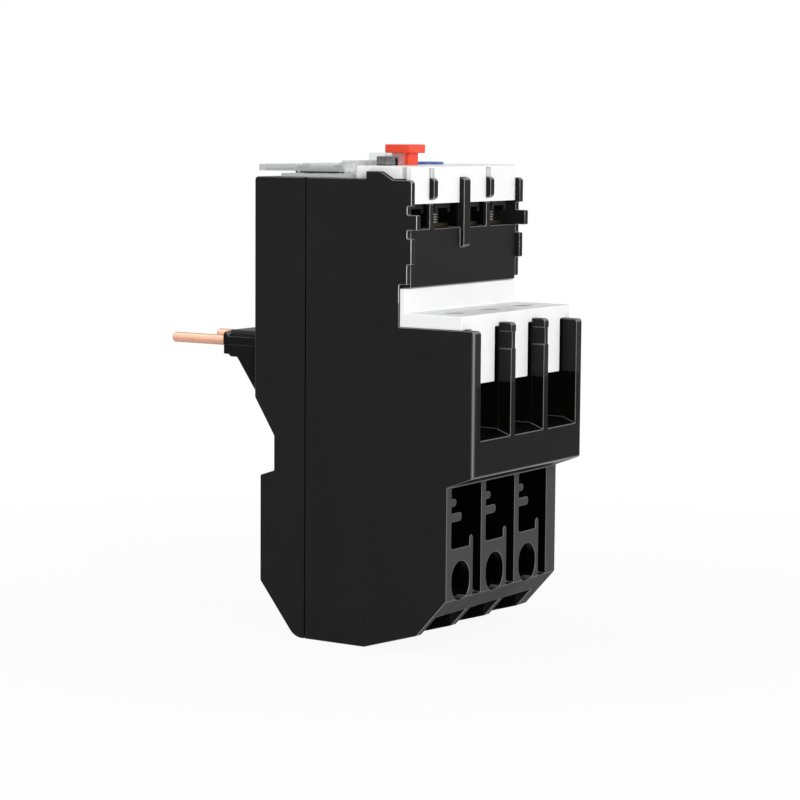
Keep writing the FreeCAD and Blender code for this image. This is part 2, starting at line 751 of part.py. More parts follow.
def rear_shell():
    """The back half, with pole partitions, snap tabs, pin window and hinge lugs."""
    front = seam - seam_gap
    outline = [(front, 0), (-foot_corner, 0), (-lower_rear, heel_rise), (-lower_rear, notch_base),
               (-notch_rear, notch_base + notch_step), (-notch_rear, notch_top),
               (-rear_face, slope_top), (-rear_face, top), (front, top)]
    shell = Moulding("rear_shell")
    shell.pad("XZ", [outline], -half_width, half_width)
    shell.fillet(foot_round, lambda edge: lies_at(edge, x=-foot_corner, z=0))
    shell.fillet(edge_round, lambda edge: lies_at(edge, x=-rear_face, z=top))
    lower = [(front + 1, skin), (-foot_corner + inset_foot, skin),
             (-lower_rear + skin, heel_rise + inset_heel), (-lower_rear + skin, notch_base - inset_notch),
             (-notch_rear + skin, notch_base + inset_step), (-notch_rear + skin, notch_top + inset_step),
             (-rear_face + skin, frame_level), (front + 1, frame_level)]
    for pole in poles:
        shell.pocket("XZ", [lower], pole - chamber_half, pole + chamber_half)
    shell.pocket("XZ", [rectangle((-rear_face + skin, front + 1), (frame_level, deck_under))],
                 -inner_half, inner_half)
    window = rectangle(about(0, carrier_half - tongue_inset + fit),
                       (tongue_base - fit, tongue_top + fit))
    shell.pocket("YZ", [window], -rear_face - 1, -rear_face + skin + 1)
    shell.pocket("XY", [("circle", *dial_centre, dial_shaft + running)], deck_under - 1, top)
    ledges = [rectangle((-rear_face + skin, front), ends)
              for ends in ((-inner_half, -inner_half + ledge), (inner_half - ledge, inner_half))]
    shell.pad("XY", ledges, plate_base - ledge, plate_base)
    for level in tab_levels:
        for low, high in ((-inner_half + fit, -inner_half + fit + tab_thickness),
                          (inner_half - fit - tab_thickness, inner_half - fit)):
            shell.pad("XY", [rectangle((front - tab_root, seam + tab_reach), (low, high))],
                      level, level + tab_width)
            root = (low - fit, high) if low.value < 0 else (low, high + fit)
            shell.pad("XY", [rectangle((front - tab_root, front), root)], level, level + tab_width)
    lug = rectangle(about(-hinge_reach, hinge_radius), (top - hinge_radius, hinge_level))
    for low, high in ((-lug_outer, -lug_inner), (lug_inner, lug_outer)):
        shell.pad("XZ", [lug], low, high)
        shell.pad("XZ", [("circle", -hinge_reach, hinge_level, hinge_radius)], low, high)
    shell.pocket("XZ", [("circle", -hinge_reach, hinge_level, hinge_pin_radius)],
                 -lug_outer - 1, lug_outer + 1)


def pin_carrier():
    """The bar that holds the three plug pins, pushed through the window in the back."""
    back = -rear_face - fit
    end = back + tongue_length
    carrier = Moulding("pin_carrier")
    carrier.pad("XZ", [rectangle((-carrier_reach, back), (carrier_base, carrier_base + carrier_core))],
                -carrier_half, carrier_half)
    collars = [rectangle(about(pole, collar_half), (carrier_base, collar_top)) for pole in poles]
    carrier.pad("YZ", collars, collar_face, back)
    carrier.fillet(collar_crown, lambda edge: any(
        lies_at(edge, y=y, z=collar_top) for pole in poles for y in about(pole, collar_half)))
    carrier.chamfer(collar_bevel, lambda edge: lies_at(edge, x=collar_face))
    bar = [(back, carrier_top), (-carrier_reach + carrier_slant, carrier_top),
           (-carrier_reach, carrier_top - carrier_slant), (-carrier_reach, carrier_base),
           (-carrier_reach + carrier_lip, carrier_base),
           (-carrier_reach + carrier_lip + carrier_step, carrier_base - carrier_step),
           (-carrier_reach + carrier_foot, carrier_base - carrier_step), (back, slope_top)]
    carrier.pad("XZ", [bar], -carrier_half, carrier_half)
    carrier.pad("XZ", [rectangle((back, end), (tongue_base, tongue_top))],
                -carrier_half + tongue_inset, carrier_half - tongue_inset)
    holes = [("circle", pole, pin_level, pin_neck + running) for pole in poles]
    carrier.pocket("YZ", holes, collar_face - 1, end + 1)


def line_pin(number, pole, reach):
    """A round copper plug pin, with a flat link that drops from its inner end to the heater."""
    tip = doc.addObject("Part::Cone", "Tip")
    tip.Placement = FreeCAD.Placement(FreeCAD.Vector(), TURN_TO["x"])
    bind(tip, "Radius1", pin_radius - pin_tip)
    bind(tip, "Radius2", pin_radius)
    bind(tip, "Height", pin_tip)
    for axis, value in zip("xyz", (-reach, pole, pin_level)):
        bind(tip, f"Placement.Base.{axis}", value)
    prong = rod("x", (pin_tip - reach, pole, pin_level), pin_radius, collar_face + reach - pin_tip)
    shank = rod("x", (collar_face, pole, pin_level), pin_neck, -pin_end - collar_face)
    link = block((-pin_end - link_thickness, -pin_end), about(pole, link_half),
                 (winding_top + lead_thickness, pin_level + link_half))
    keep(f"line_pin_{number}", fuse(tip, prong, shank, link))


def bimetal(number, pole):
    """The strip that bends as its heater warms it."""
    keep(f"bimetal_{number}", block(about(-bimetal_centre, bimetal_half), about(pole, bimetal_thickness / 2),
                                    (chamber_floor + bar_thickness, bimetal_top)))


def heater(number, pole):
    """A ribbon wound round the bimetal, with its lead to the plug pin."""
    legs = []
    wide, deep = winding_wide, winding_deep
    for turn in range(winding_turns):
        for corner, (x, y) in enumerate(((about(0, wide), (-deep, ribbon_thickness - deep)),
                                         ((wide - ribbon_thickness, wide), about(0, deep)),
                                         (about(0, wide), (deep - ribbon_thickness, deep)),
                                         ((-wide, ribbon_thickness - wide), about(0, deep)))):
            base = winding_base + winding_pitch * (turn + corner / 4)
            legs.append(block((x[0] - bimetal_centre, x[1] - bimetal_centre), (y[0] + pole, y[1] + pole),
                              (base, base + winding_band)))
    lead = block((-pin_end - link_thickness, ribbon_thickness - wide - bimetal_centre),
                 about(pole, lead_half), (winding_top, winding_top + lead_thickness))
    drop = block((-wide - bimetal_centre, ribbon_thickness - wide - bimetal_centre), about(pole, lead_half),
                 (winding_top - winding_band / 2, winding_top + lead_thickness))
    keep(f"heater_{number}", fuse(*legs, lead, drop))


def load_bar(number, pole):
    """The brass bar from the bimetal's foot up and out to the cable terminal."""
    front = mechanism_front + bar_back
    profile = [(-bimetal_centre - bimetal_half, chamber_floor), (front, chamber_floor), (front, bay_floor),
               (bar_front, bay_floor), (bar_front, bay_floor + bar_thickness),
               (front - bar_thickness, bay_floor + bar_thickness),
               (front - bar_thickness, chamber_floor + bar_thickness),
               (-bimetal_centre - bimetal_half, chamber_floor + bar_thickness)]
    bar = Moulding(f"load_bar_{number}")
    bar.pad("XZ", [profile], pole - bar_half, pole + bar_half)
    ear = rectangle(about(-bimetal_centre, bimetal_half),
                    (pole + bimetal_thickness / 2, pole + bimetal_thickness / 2 + bar_thickness))
    bar.pad("XY", [ear], chamber_floor, chamber_floor + bar_thickness + ear_height)
    bar.pocket("XY", [("circle", screw_reach, pole, screw_radius + running)],
               bay_floor - 1, bay_floor + bar_thickness)


def slotted_screw(reach, side, tip, under_head, radius, head, head_height, slot):
    """A cylinder-head screw standing upright, with a slot across its head."""
    shank = rod("z", (reach, side, tip), radius, under_head - tip)
    cap = rod("z", (reach, side, under_head), head, head_height)
    groove = block(about(reach, slot / 2), about(side, head + 1),
                   (under_head + head_height - slot, under_head + head_height + 1))
    return cut(fuse(shank, cap), groove)


def saddle(reach, side, half, under, thickness, radius):
    """A square clamp washer with turned-down sides, held under its screw head."""
    plate = block(about(reach, half), about(side, half), (under - thickness, under))
    lips = [block(about(reach, half), ends, (under - thickness * 2, under))
            for ends in ((side - half, side - half + thickness), (side + half - thickness, side + half))]
    hole = block(about(reach, radius + running), about(side, radius + running),
                 (under - thickness * 3, under + thickness))
    return cut(fuse(plate, *lips), hole)


def fixed_contact(centre, makes):
    """Where a fixed contact starts: at the resting tip, or as far off as the rocker brings it."""
    closed = rocker_pivot[0] + rocker_half + tip_length + fit
    return closed + (centre - rocker_pivot[1]) * make_opening * makes


def terminals():
    """The screws and clamps of the main and the auxiliary terminals."""
    keep("main_terminal_screws", group(*[
        slotted_screw(screw_reach, pole, bay_floor - screw_well + 1, main_head_level, screw_radius,
                      head_radius, head_height, slot_width) for pole in poles]))
    keep("main_clamps", group(*[
        saddle(screw_reach, pole, main_clamp_half, main_head_level, bar_thickness, screw_radius)
        for pole in poles]))
    keep("aux_terminal_screws", group(*[
        slotted_screw(aux_screw_reach, centre, aux_floor - aux_screw_depth, aux_head_level,
                      aux_screw_radius, aux_head_radius, aux_head_height, slot_width)
        for centre in aux_centres]))
    keep("aux_clamps", group(*[
        saddle(aux_screw_reach, centre, aux_clamp_half, aux_head_level, aux_bar_thickness, aux_screw_radius)
        for centre in aux_centres]))
    for number, centre in enumerate(aux_centres):
        strip = block((fixed_contact(centre, number // 2), aux_bar_outer), about(centre, aux_bar_half),
                      (aux_floor, aux_floor + aux_bar_thickness))
        tapping = rod("z", (aux_screw_reach, centre, aux_floor - 1), aux_screw_radius + running,
                      aux_bar_thickness + 2)
        keep(f"aux_terminal_bar_{number + 1}", cut(strip, tapping))


def terminal_cover():
    """The white strip over the cable screws, with a finger down between each pair of posts."""
    inner, outer = strip_back, strip_back + cover_wall
    shelf = block_top + shelf_rise
    lip = strip_front - cover_wall
    profile = [(inner, block_top), (outer, block_top), (outer, shelf - cover_wall),
               (lip, shelf - cover_wall), (lip, block_top + fit), (strip_front, block_top + fit),
               (strip_front, shelf), (outer, shelf), (outer, panel_base - fit), (inner, panel_base - fit)]
    cover = Moulding("terminal_cover")
    cover.pad("XZ", [profile], -half_width + loose, half_width - loose)
    fingers = [rectangle(about(pole, finger_half), (shelf - cover_wall - finger_length, shelf))
               for pole in poles]
    cover.pad("YZ", fingers, lip, strip_front)
    for low, high in ((-half_width + loose, -half_width + loose + cover_wall),
                      (half_width - loose - cover_wall, half_width - loose)):
        cover.pad("XZ", [rectangle((inner, strip_front), (block_top, shelf))], low, high)
    holes = [("circle", screw_reach, pole, driver_radius) for pole in poles]
    cover.pocket("XY", holes, shelf - cover_wall - 1, shelf)


def aux_block():
    """The black insert that carries the auxiliary terminals and parts their bays."""
    back = aux_back + fit
    insert = Moulding("aux_terminal_block")
    insert.pad("XZ", [rectangle((back, panel_face), (panel_base, aux_floor))],
               -aux_half + fit, aux_half - fit)
    for rib in (rib_one, rib_three):
        insert.pad("XZ", [[(back, panel_base), (panel_face, panel_base), (panel_face, skirt_base - fit),
                           (skirt_back - fit, skirt_base - fit), (skirt_back - fit, nose_base),
                           (rib_face, nose_base), (rib_face, nose_top), (skirt_back - fit, nose_top),
                           (skirt_back - fit, plate_under - fit), (back, plate_under - fit)]],
                   rib - thin_rib / 2, rib + thin_rib / 2)
    insert.pad("XZ", [[(back, panel_base), (panel_face, panel_base), (panel_face, aux_floor - rib_drop),
                       (rib_face, aux_floor - rib_drop), (rib_face, nose_top), (back, nose_top)]],
               rib_two - thick_rib / 2, rib_two + thick_rib / 2)
    wells = [rectangle(about(aux_screw_reach, aux_screw_radius + fit), about(centre, aux_screw_radius + fit))
             for centre in aux_centres]
    insert.pocket("XY", wells, aux_floor - aux_screw_depth - 1, aux_floor)
    insert.fillet(rib_round, lambda edge: lies_at(edge, x=rib_face, z=nose_top)
                  or lies_at(edge, x=rib_face, z=nose_base)
                  or lies_at(edge, x=rib_face, z=aux_floor - rib_drop))


def faceplate():
    """The white setting face: raised front with its skirt, and the low tray under the cover."""
    half = aux_half - 2 * fit
    raised = [(face_back, top), (face_back + face_wall, top), (face_back + face_wall, plate_under),
              (skirt_back, plate_under), (skirt_back, skirt_base), (skirt_face, skirt_base),
              (skirt_face, face_top), (face_back, face_top)]
    plate = Moulding("faceplate")
    plate.pad("XZ", [raised], -half, half)
    plate.pad("XZ", [rectangle((tray_back, face_back), (top, top + tray_rise))],
              -half + tray_inset, half - tray_inset)
    for low, high in ((-half, -half + face_wall), (half - face_wall, half)):
        plate.pad("XZ", [rectangle((face_back, skirt_face), (top, face_top))], low, high)
    windows = [rectangle(about(rib, thin_rib / 2 + fit), (nose_base - fit, nose_top + fit))
               for rib in (rib_one, rib_three)]
    split = rectangle(about(rib_two, thick_rib / 2 + fit), (skirt_base - 1, nose_top + fit))
    plate.pocket("YZ", windows + [split], skirt_back - 1, skirt_face)
    grooves = [rectangle(about(rib, groove_half), (nose_top + fit, face_top - groove_cap))
               for rib in (rib_one, rib_three)]
    plate.pocket("YZ", grooves, skirt_face - groove_depth, skirt_face)
    holes = [("circle", aux_screw_reach, centre, aux_head_radius + 2 * fit) for centre in aux_centres]
    holes += [("circle", *test_centre, test_radius + fit), ("circle", *reset_centre, reset_radius + fit),
              ("circle", *dial_centre, dial_radius + fit), flag_slot(), stop_slot(),
              rectangle((post_near[0] - fit, post_near[0] + post_length + fit),
                        (post_near[1] - fit, post_near[1] + post_width + fit))]
    plate.pocket("XY", holes, top - 1, face_top)
    groove = rectangle((side_groove_reach, side_groove_reach + side_groove_width), (top, face_top))
    for low, high in ((-half, -half + side_groove_depth), (half - side_groove_depth, half)):
        plate.pocket("XZ", [groove], low, high)
    plate.fillet(face_round, lambda edge: lies_at(edge, x=skirt_face, z=face_top)
                 or lies_at(edge, y=half, z=face_top) or lies_at(edge, y=-half, z=face_top))


def bimetal_frame():
    """The lower plate, with a slot round each bimetal and the rails that guide the slides."""
    frame = Moulding("bimetal_frame")
    half = inner_half - plate_edge
    frame.pad("XY", [rectangle((-frame_back, mechanism_front - loose), (-half, half))],
              frame_level, frame_level + frame_thickness)
    rails = [rectangle(ends, (poles[0] - rail_reach, poles[2])) for ends in
             ((slide_back - running * 2 - rail_width, slide_back - running * 2),
              (slide_front + running * 2, slide_front + running * 2 + rail_width))]
    frame.pad("XY", rails, frame_level, slide_level + 2 * slide_thickness + slide_gap)
    slots = [rectangle(about(-bimetal_centre, bimetal_half + loose),
                       about(pole, bimetal_thickness / 2 + loose)) for pole in poles]
    journal = ("circle", *trip_pivot, journal_radius + running)
    frame.pocket("XY", slots + [journal], frame_level - 1, frame_level + frame_thickness)


def mechanism_plate():
    """The upper plate that hangs the levers on clipped pivots and seats the button springs."""
    half = inner_half - plate_edge
    plate = block((-mech_back, mechanism_front - loose), (-half, half), (plate_base, plate_top))
    shaft_hole = rod("z", (*dial_centre, plate_base - 1), dial_shaft + running, plate_thickness + 2)
    journal = rod("z", (*trip_pivot, plate_base - 1), journal_radius + running, plate_thickness + 2)
    (x_low, y_low), _, (x_high, y_high), _ = flag_slot()
    window = block((x_low, x_high), (y_low, y_high), (plate_base - 1, plate_top + 1))
    pieces = []
    for centre, radius, length in ((rocker_pivot, rocker_pin, rocker_pin_drop),
                                   (lever_pivot, lever_pin, lever_pin_drop)):
        pieces.append(rod("z", (*centre, plate_base - length), radius, length))
        pieces.append(block(about(centre[0], radius + clip / 2), about(centre[1], radius + clip / 2),
                            (plate_base - length - clip, plate_base - length)))
    keep("mechanism_plate", fuse(cut(plate, shaft_hole, journal, window), *pieces))


def slides():
    """The two stacked slides that the bimetals push sideways."""
    for name, level, nose in (("differential_slide", slide_level, nose_reach),
                              ("trip_slide", slide_level + slide_thickness + slide_gap, 0)):
        slide = Moulding(name)
        end = poles[2] + slide_end
        slide.pad("XY", [rectangle((slide_back, slide_front), (poles[0] - slot_back - slide_rim, end))],
                  level, level + slide_thickness)
        if nose:
            slide.pad("XY", [rectangle(about(nose_centre, nose_half), (end - 1, end + nose))],
                      level, level + slide_thickness)
        slots = [rectangle(about(-bimetal_centre, bimetal_half + 2 * fit),
                           (pole - slot_back, pole + slot_front)) for pole in poles]
        slide.pocket("XY", slots, level - 1, level + slide_thickness)


def trip_lever():
    """An upright shaft with a lower arm at the slides and an upper arm at the contact rocker."""
    reach, side = trip_pivot
    low, high = frame_level + frame_thickness + running * 2, plate_base - running * 2
    shaft = block(about(reach, trip_shaft_half), about(side, trip_shaft_half), (low, high))
    journals = [rod("z", (reach, side, base), journal_radius, length)
                for base, length in ((low - frame_thickness, frame_thickness), (high, plate_thickness))]
    lower = block((reach, reach + lower_arm), (side - arm_thickness, side),
                  (slide_level + fit, slide_level + slide_thickness + slide_gap + slide_thickness))
    upper = block(about(reach, upper_arm_half), (boss_side - boss_half, side),
                  (rocker_level + fit, rocker_level + rocker_height - fit))
    keep("trip_lever", fuse(shaft, *journals, lower, upper))


def contact_rocker():
    """The rocker with the trip flag, and the sprung bridges that it carries."""
    reach, side = rocker_pivot
    levels = (rocker_level, rocker_level + rocker_height)
    bar = block(about(reach, rocker_half), (rocker_low, rocker_high), levels)
    hub = rod("z", (reach, side, levels[0]), rocker_hub, rocker_height)
    boss = block((reach - boss_reach, reach), about(boss_side, boss_half), levels)
    flag = block(about(reach, flag_half_x), about(flag_side, flag_half_y), (levels[1] - 1, top + flag_rise))
    bore = rod("z", (reach, side, levels[0] - 1), rocker_pin + running, rocker_height + 2)
    keep("contact_rocker", cut(fuse(bar, hub, boss, flag), bore))
    face = reach + rocker_half
    bridge_levels = (aux_floor + fit, aux_floor + aux_bar_thickness - fit)
    for name, first in (("break_bridge", 0), ("make_bridge", 2)):
        ends = (aux_centres[first], aux_centres[first + 1])
        pieces = [block((face, face + blade), (ends[0] - tip_half, ends[1] + tip_half), bridge_levels)]
        pieces += [block((face, face + tip_length), about(end, tip_half), bridge_levels) for end in ends]
        keep(name, fuse(*pieces))


def setting_dial():
    """The current dial: slotted disc above the deck, shaft, and the cam under the plate."""
    reach, side = dial_centre
    disc = rod("z", (reach, side, top + dial_lift), dial_radius, dial_thickness)
    groove = block(about(reach, dial_radius - dial_rim), about(side, slot_width / 2),
                   (top + dial_lift + dial_thickness / 2, top + dial_lift + dial_thickness + 1))
    shaft = rod("z", (reach, side, cam_level), dial_shaft, top + dial_lift - cam_level)
    cam = rod("z", (reach, side + cam_throw, cam_level), cam_radius, cam_height)
    keep("setting_dial", fuse(cut(disc, groove), shaft, cam))


def compensation_lever():
    """The lever that the dial's cam leans on, hung on its own pivot."""
    reach, side = lever_pivot
    arm = block(about(reach, lever_half), (-lever_low, lever_high), (cam_level, cam_level + lever_height))
    hub = rod("z", (reach, side, cam_level), lever_hub, lever_height)
    bore = rod("z", (reach, side, cam_level - 1), lever_pin + running, lever_height + 2)
    keep("compensation_lever", cut(fuse(arm, hub), bore))


def stop_button():
    """The red T-shaped stop button, with the flange that keeps it under the deck."""
    reach, side = stop_centre
    stem = block(about(reach, stop_stem_x), about(side, stop_stem_y), (flange_base, stop_cap_base + fit))
    cap = block(about(reach, stop_cap_x), about(side, stop_cap_y), (stop_cap_base, stop_top))
    cap_edges = doc.addObject("Part::Fillet", "SoftCap")
    cap_edges.Base = cap
    doc.recompute()
    upright = [index + 1 for index, edge in enumerate(cap.Shape.Edges)
               if edge.BoundBox.ZLength > stop_cap_round.value]
    cap_edges.Edges = [(index, stop_cap_round.value, stop_cap_round.value) for index in upright]
    flange = block(about(reach, stop_stem_x + flange_extra), about(side, stop_stem_y + flange_extra),
                   (flange_base, flange_base + flange_thickness))
    keep("stop_button", fuse(stem, cap_edges, flange, spring_peg(reach, side)))


def spring_peg(reach, side):
    """The square peg under a button that centres its spring."""
    return block(about(reach, guide_half), about(side, guide_half), (flange_base - spring_guide, flange_base))


def reset_parts():
    """The reset plunger with its round blue cap, which turns between hand and automatic."""
    reach, side = reset_centre
    flange_half = plunger_radius + flange_extra * 2
    flange = block(about(reach, flange_half), about(side, flange_half),
                   (flange_base, flange_base + flange_thickness))
    keep("reset_plunger", fuse(
        rod("z", (reach, side, flange_base), plunger_radius, reset_base - flange_base), flange,
        spring_peg(reach, side), rod("z", (reach, side, reset_base), spigot_radius, spigot_height)))
    disc = rod("z", (reach, side, reset_base + running), reset_radius, reset_thickness)
    socket = rod("z", (reach, side, reset_base), spigot_radius + running, spigot_height + running * 2)
    groove = block(about(reach, reset_radius - dial_rim), about(side, slot_width / 2),
                   (reset_base + reset_thickness - slot_depth, reset_base + reset_thickness + 1))
    keep("reset_button", cut(disc, socket, groove))


def test_button():
    """The small test plunger, level with the bottom of its hole in the face."""
    reach, side = test_centre
    flange_half = test_radius + flange_extra
    keep("test_button", fuse(
        rod("z", (reach, side, flange_base), test_radius, face_top - test_recess - flange_base),
        block(about(reach, flange_half), about(side, flange_half),
              (flange_base, flange_base + flange_thickness)), spring_peg(reach, side)))


def spring(name, centre, radius):
    """A return spring standing on the mechanism plate under its button."""
    path = doc.addObject("Part::Helix", "Turns")
    height = flange_base - plate_top - spring_wire - 2 * running
    bind(path, "Pitch", height / spring_turns)
    bind(path, "Height", height)
    bind(path, "Radius", radius)
    wire = doc.addObject("Part::RegularPolygon", "Wire")
    wire.Polygon = 4
    wire.Placement = FreeCAD.Placement(FreeCAD.Vector(), FreeCAD.Rotation(FreeCAD.Vector(1, 0, 0), 90))
    bind(wire, "Circumradius", spring_wire * 0.5)
    start = (centre[0], centre[1], plate_top + spring_wire / 2 + running)
    for axis, value, shift in zip("xyz", start, (radius, 0, 0)):
        bind(path, f"Placement.Base.{axis}", value)
        bind(wire, f"Placement.Base.{axis}", value + shift)
    coil = doc.addObject("Part::Sweep", "Coil")
    coil.Sections = [wire]
    coil.Spine = (path, ["Edge1"])
    coil.Solid = True
    coil.Frenet = True
    keep(name, coil)


def clear_cover():
    """The clear lid over the dial and tray, with a thumb ledge and the hood for the seal."""
    left, low, high = -hinge_reach - hinge_radius, top + cover_gap, face_top
    corner = aux_half + cover_side
    sheet = [(left, -corner), (cover_near, -corner), (cover_near, cover_step), (cover_far, cover_step),
             (cover_far, corner), (left, corner)]
    near, far, step = cover_near - cover_rim, cover_far - cover_rim, cover_step - cover_rim
    inner = [(left + cover_rim, -corner + cover_rim), (near, -corner + cover_rim), (near, step),
             (far, step), (far, corner - cover_rim), (left + cover_rim, corner - cover_rim)]
    lid = Moulding("clear_cover")
    lid.pad("XY", [sheet], low, high)
    lid.pocket("XY", [inner], low - 1, high - cover_sheet)
    notches = [rectangle((left - 1, -hinge_reach + hinge_radius + loose), ends) for ends in
               ((-lug_outer - fit * 2, -lug_inner + fit * 2), (lug_inner - fit * 2, lug_outer + fit * 2))]
    lid.pocket("XY", notches, low - 1, high)
    barrel = ("circle", -hinge_reach, hinge_level, hinge_radius)
    lid.pad("XZ", [barrel], -lug_inner + fit * 2, lug_inner - fit * 2)
    hood_x = (post_near[0] - hood_back, post_near[0] + post_length + hood_gap)
    hood_y = (post_near[1] - hood_gap, post_near[1] + post_width + hood_gap)
    hood_sides = (hood_y[0] - hood_wall, hood_y[1] + hood_wall)
    thumb = rectangle((cover_near - thumb_length, cover_near), (-corner, hood_sides[1]))
    lid.pad("XY", [thumb], high - fit, high + thumb_rise)
    tongue = rectangle((cover_near - 1, hood_x[0]), hood_sides)
    lid.pad("XY", [tongue], high + hood_lift, high + thumb_rise)
    outer = rectangle((hood_x[0] - hood_wall, hood_x[1] + hood_wall), hood_sides)
    lid.pad("XY", [outer], high + hood_lift, high + hood_rise)
    lid.pocket("XY", [rectangle((hood_x[0] - hood_wall - 1, hood_x[1]), hood_y)],
               high - 1, high + hood_rise - hood_wall)
    lid.pad("XY", [rectangle((hood_x[0] - hood_wall, hood_x[0]), (hood_y[0], hood_y[1]))],
            high + hood_lift, high + thumb_rise)
    lid.pocket("YZ", [("circle", post_near[1] + post_width / 2, top + seal_level, seal_radius)],
               hood_x[1] - 1, hood_x[1] + hood_wall + 1)
    lid.pocket("XZ", [("circle", -hinge_reach, hinge_level, hinge_pin_radius + running)],
               -lug_inner, lug_inner)


def hinge_pin():
    """The steel pin through the lugs and the cover's barrel."""
    keep("hinge_pin", rod("y", (-hinge_reach, -lug_outer, hinge_level), hinge_pin_radius, lug_outer * 2))


for maker in (main_housing, rear_shell, pin_carrier, terminals, terminal_cover, aux_block, faceplate,
              bimetal_frame, mechanism_plate, slides, trip_lever, contact_rocker, setting_dial,
              compensation_lever, stop_button, reset_parts, test_button, clear_cover, hinge_pin):
    maker()
for step, pole in enumerate(poles):
    line_pin(step + 1, pole, pin_reach - pin_set_back if step else pin_reach)
    bimetal(step + 1, pole)
    heater(step + 1, pole)
    load_bar(step + 1, pole)
for name, centre, radius in (("stop_spring", stop_centre, spring_radius),
                             ("reset_spring", reset_centre, spring_radius),
                             ("test_spring", test_centre, test_spring_radius)):
    spring(name, centre, radius)
doc.recompute()
broken = [thing.Label for thing in doc.Objects if {"Invalid", "Error"} & set(thing.State)]
broken += [piece.Label for piece in PIECES if piece.Shape.isNull() or not piece.Shape.isValid()]
if broken:
    raise RuntimeError("Not built: " + ", ".join(broken))
for piece in PIECES:
    piece.Shape.exportStep(f"parts/{piece.Label}.step")
    print(piece.Label, len(piece.Shape.Solids), round(piece.Shape.Volume, 1))
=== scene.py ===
import bpy
import json
import math
from functools import cached_property
from mathutils import Matrix, Vector

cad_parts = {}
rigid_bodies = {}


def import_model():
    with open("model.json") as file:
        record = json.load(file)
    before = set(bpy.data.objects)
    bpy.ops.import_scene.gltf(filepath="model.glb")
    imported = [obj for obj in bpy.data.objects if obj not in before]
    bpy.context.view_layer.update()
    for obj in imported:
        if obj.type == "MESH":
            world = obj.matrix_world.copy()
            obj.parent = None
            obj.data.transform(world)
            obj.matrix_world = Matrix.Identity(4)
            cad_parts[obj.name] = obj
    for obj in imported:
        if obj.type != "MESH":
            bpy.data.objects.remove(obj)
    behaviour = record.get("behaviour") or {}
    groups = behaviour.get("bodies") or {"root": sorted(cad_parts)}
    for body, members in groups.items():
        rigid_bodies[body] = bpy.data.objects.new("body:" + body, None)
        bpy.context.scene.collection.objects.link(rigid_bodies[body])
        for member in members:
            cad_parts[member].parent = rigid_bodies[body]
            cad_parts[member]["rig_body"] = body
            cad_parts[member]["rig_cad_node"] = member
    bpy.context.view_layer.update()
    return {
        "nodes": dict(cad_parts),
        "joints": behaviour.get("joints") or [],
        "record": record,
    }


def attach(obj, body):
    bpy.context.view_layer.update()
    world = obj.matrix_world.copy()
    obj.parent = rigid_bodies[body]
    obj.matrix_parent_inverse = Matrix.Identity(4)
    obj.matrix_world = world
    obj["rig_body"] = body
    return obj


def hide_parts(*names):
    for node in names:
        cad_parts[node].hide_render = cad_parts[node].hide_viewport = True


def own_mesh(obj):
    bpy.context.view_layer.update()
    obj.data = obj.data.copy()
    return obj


bl_info = {
    "name": "Thermal overload relay",
    "version": (1, 0, 0),
    "blender": (4, 5, 0),
    "location": "View3D > Sidebar > Relay",
    "description": "Moulded, stamped and printed finish for a plug-on overload relay",
    "category": "Object",
}

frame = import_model()
JOINTS = {joint["name"]: joint for joint in frame["joints"]}
MM = 0.001

# The camera, as it was fitted to the housing's parallel edges
CAMERA_PLACE = Vector((295.76, -455.85, 108.56)) * MM
CAMERA_RIGHT = Vector((0.84011, 0.54236, 0.00741))
CAMERA_UP = Vector((-0.06497, 0.08706, 0.99408))
CAMERA_LENS = 114.2
SENSOR = 36.0

# The lamps, which all face the middle: name, place and size in metres, and power in watts
MIDDLE = Vector((0.0, 0.0, 0.05))
LAMPS = (("key", (0.75, -0.48, 0.26), (0.2, 0.55), 4.9),
         ("side", (0.7, 0.5, 0.4), (0.5, 0.5), 1.9),
         ("fill", (-0.3, -0.85, 0.5), (0.6, 0.5), 2.1),
         ("above", (-0.4, -0.1, 0.8), (0.5, 0.5), 2.0))

# How much light the surroundings give; what is seen of them is white
WORLD_LIGHT = 0.33

# The floor's side, how white it shows near the middle, and between which distances in metres from there
# that grows to full white
FLOOR_SIDE = 30.0
FLOOR_WHITE = 0.92
FLOOR_FADE = (0.06, 0.22)

# Places on the housing, in millimetres
LOWER_FRONT = {"X": (27.8, 29), "Y": (-22.4, 22.6), "Z": (11.4, 35.6)}
CHAMFER = {"X": (20.8, 28.2), "Y": (-22.4, 22.6), "Z": (3.6, 11.8)}
CELL_INSIDE = {"X": (10, 27.95), "Y": (-21.4, 21.4), "Z": (11.9, 36)}
CELL_MOUTHS = {"X": (10, 20.6), "Y": (-21.4, 21.4), "Z": (2, 12)}
POSTS = {"X": (30.6, 35), "Y": (-21.4, 21.4), "Z": (44, 56)}
POST_TOPS = {"X": (30.6, 35), "Y": (-21.4, 21.4), "Z": (55.9, 68.6)}
BAYS = {"X": (16, 31.2), "Y": (-21.4, 21.4), "Z": (44, 68.6)}
BLOCK_FRONT = {"X": (33.8, 35), "Y": (-21.6, 21.6), "Z": (36, 44.6)}
SEAL_POST = {"X": (5, 10), "Y": (-17, -12), "Z": (99, 104)}
# The lugs' upright edges, where the painted highlight is brightest
LUG_EDGES = {"X": (15.5, 21.6), "Y": (-23, -20.4), "Z": (72, 97)}
SEAM = {"X": (-7.9, -6.6), "Y": (-23, 23), "Z": (-1, 98)}

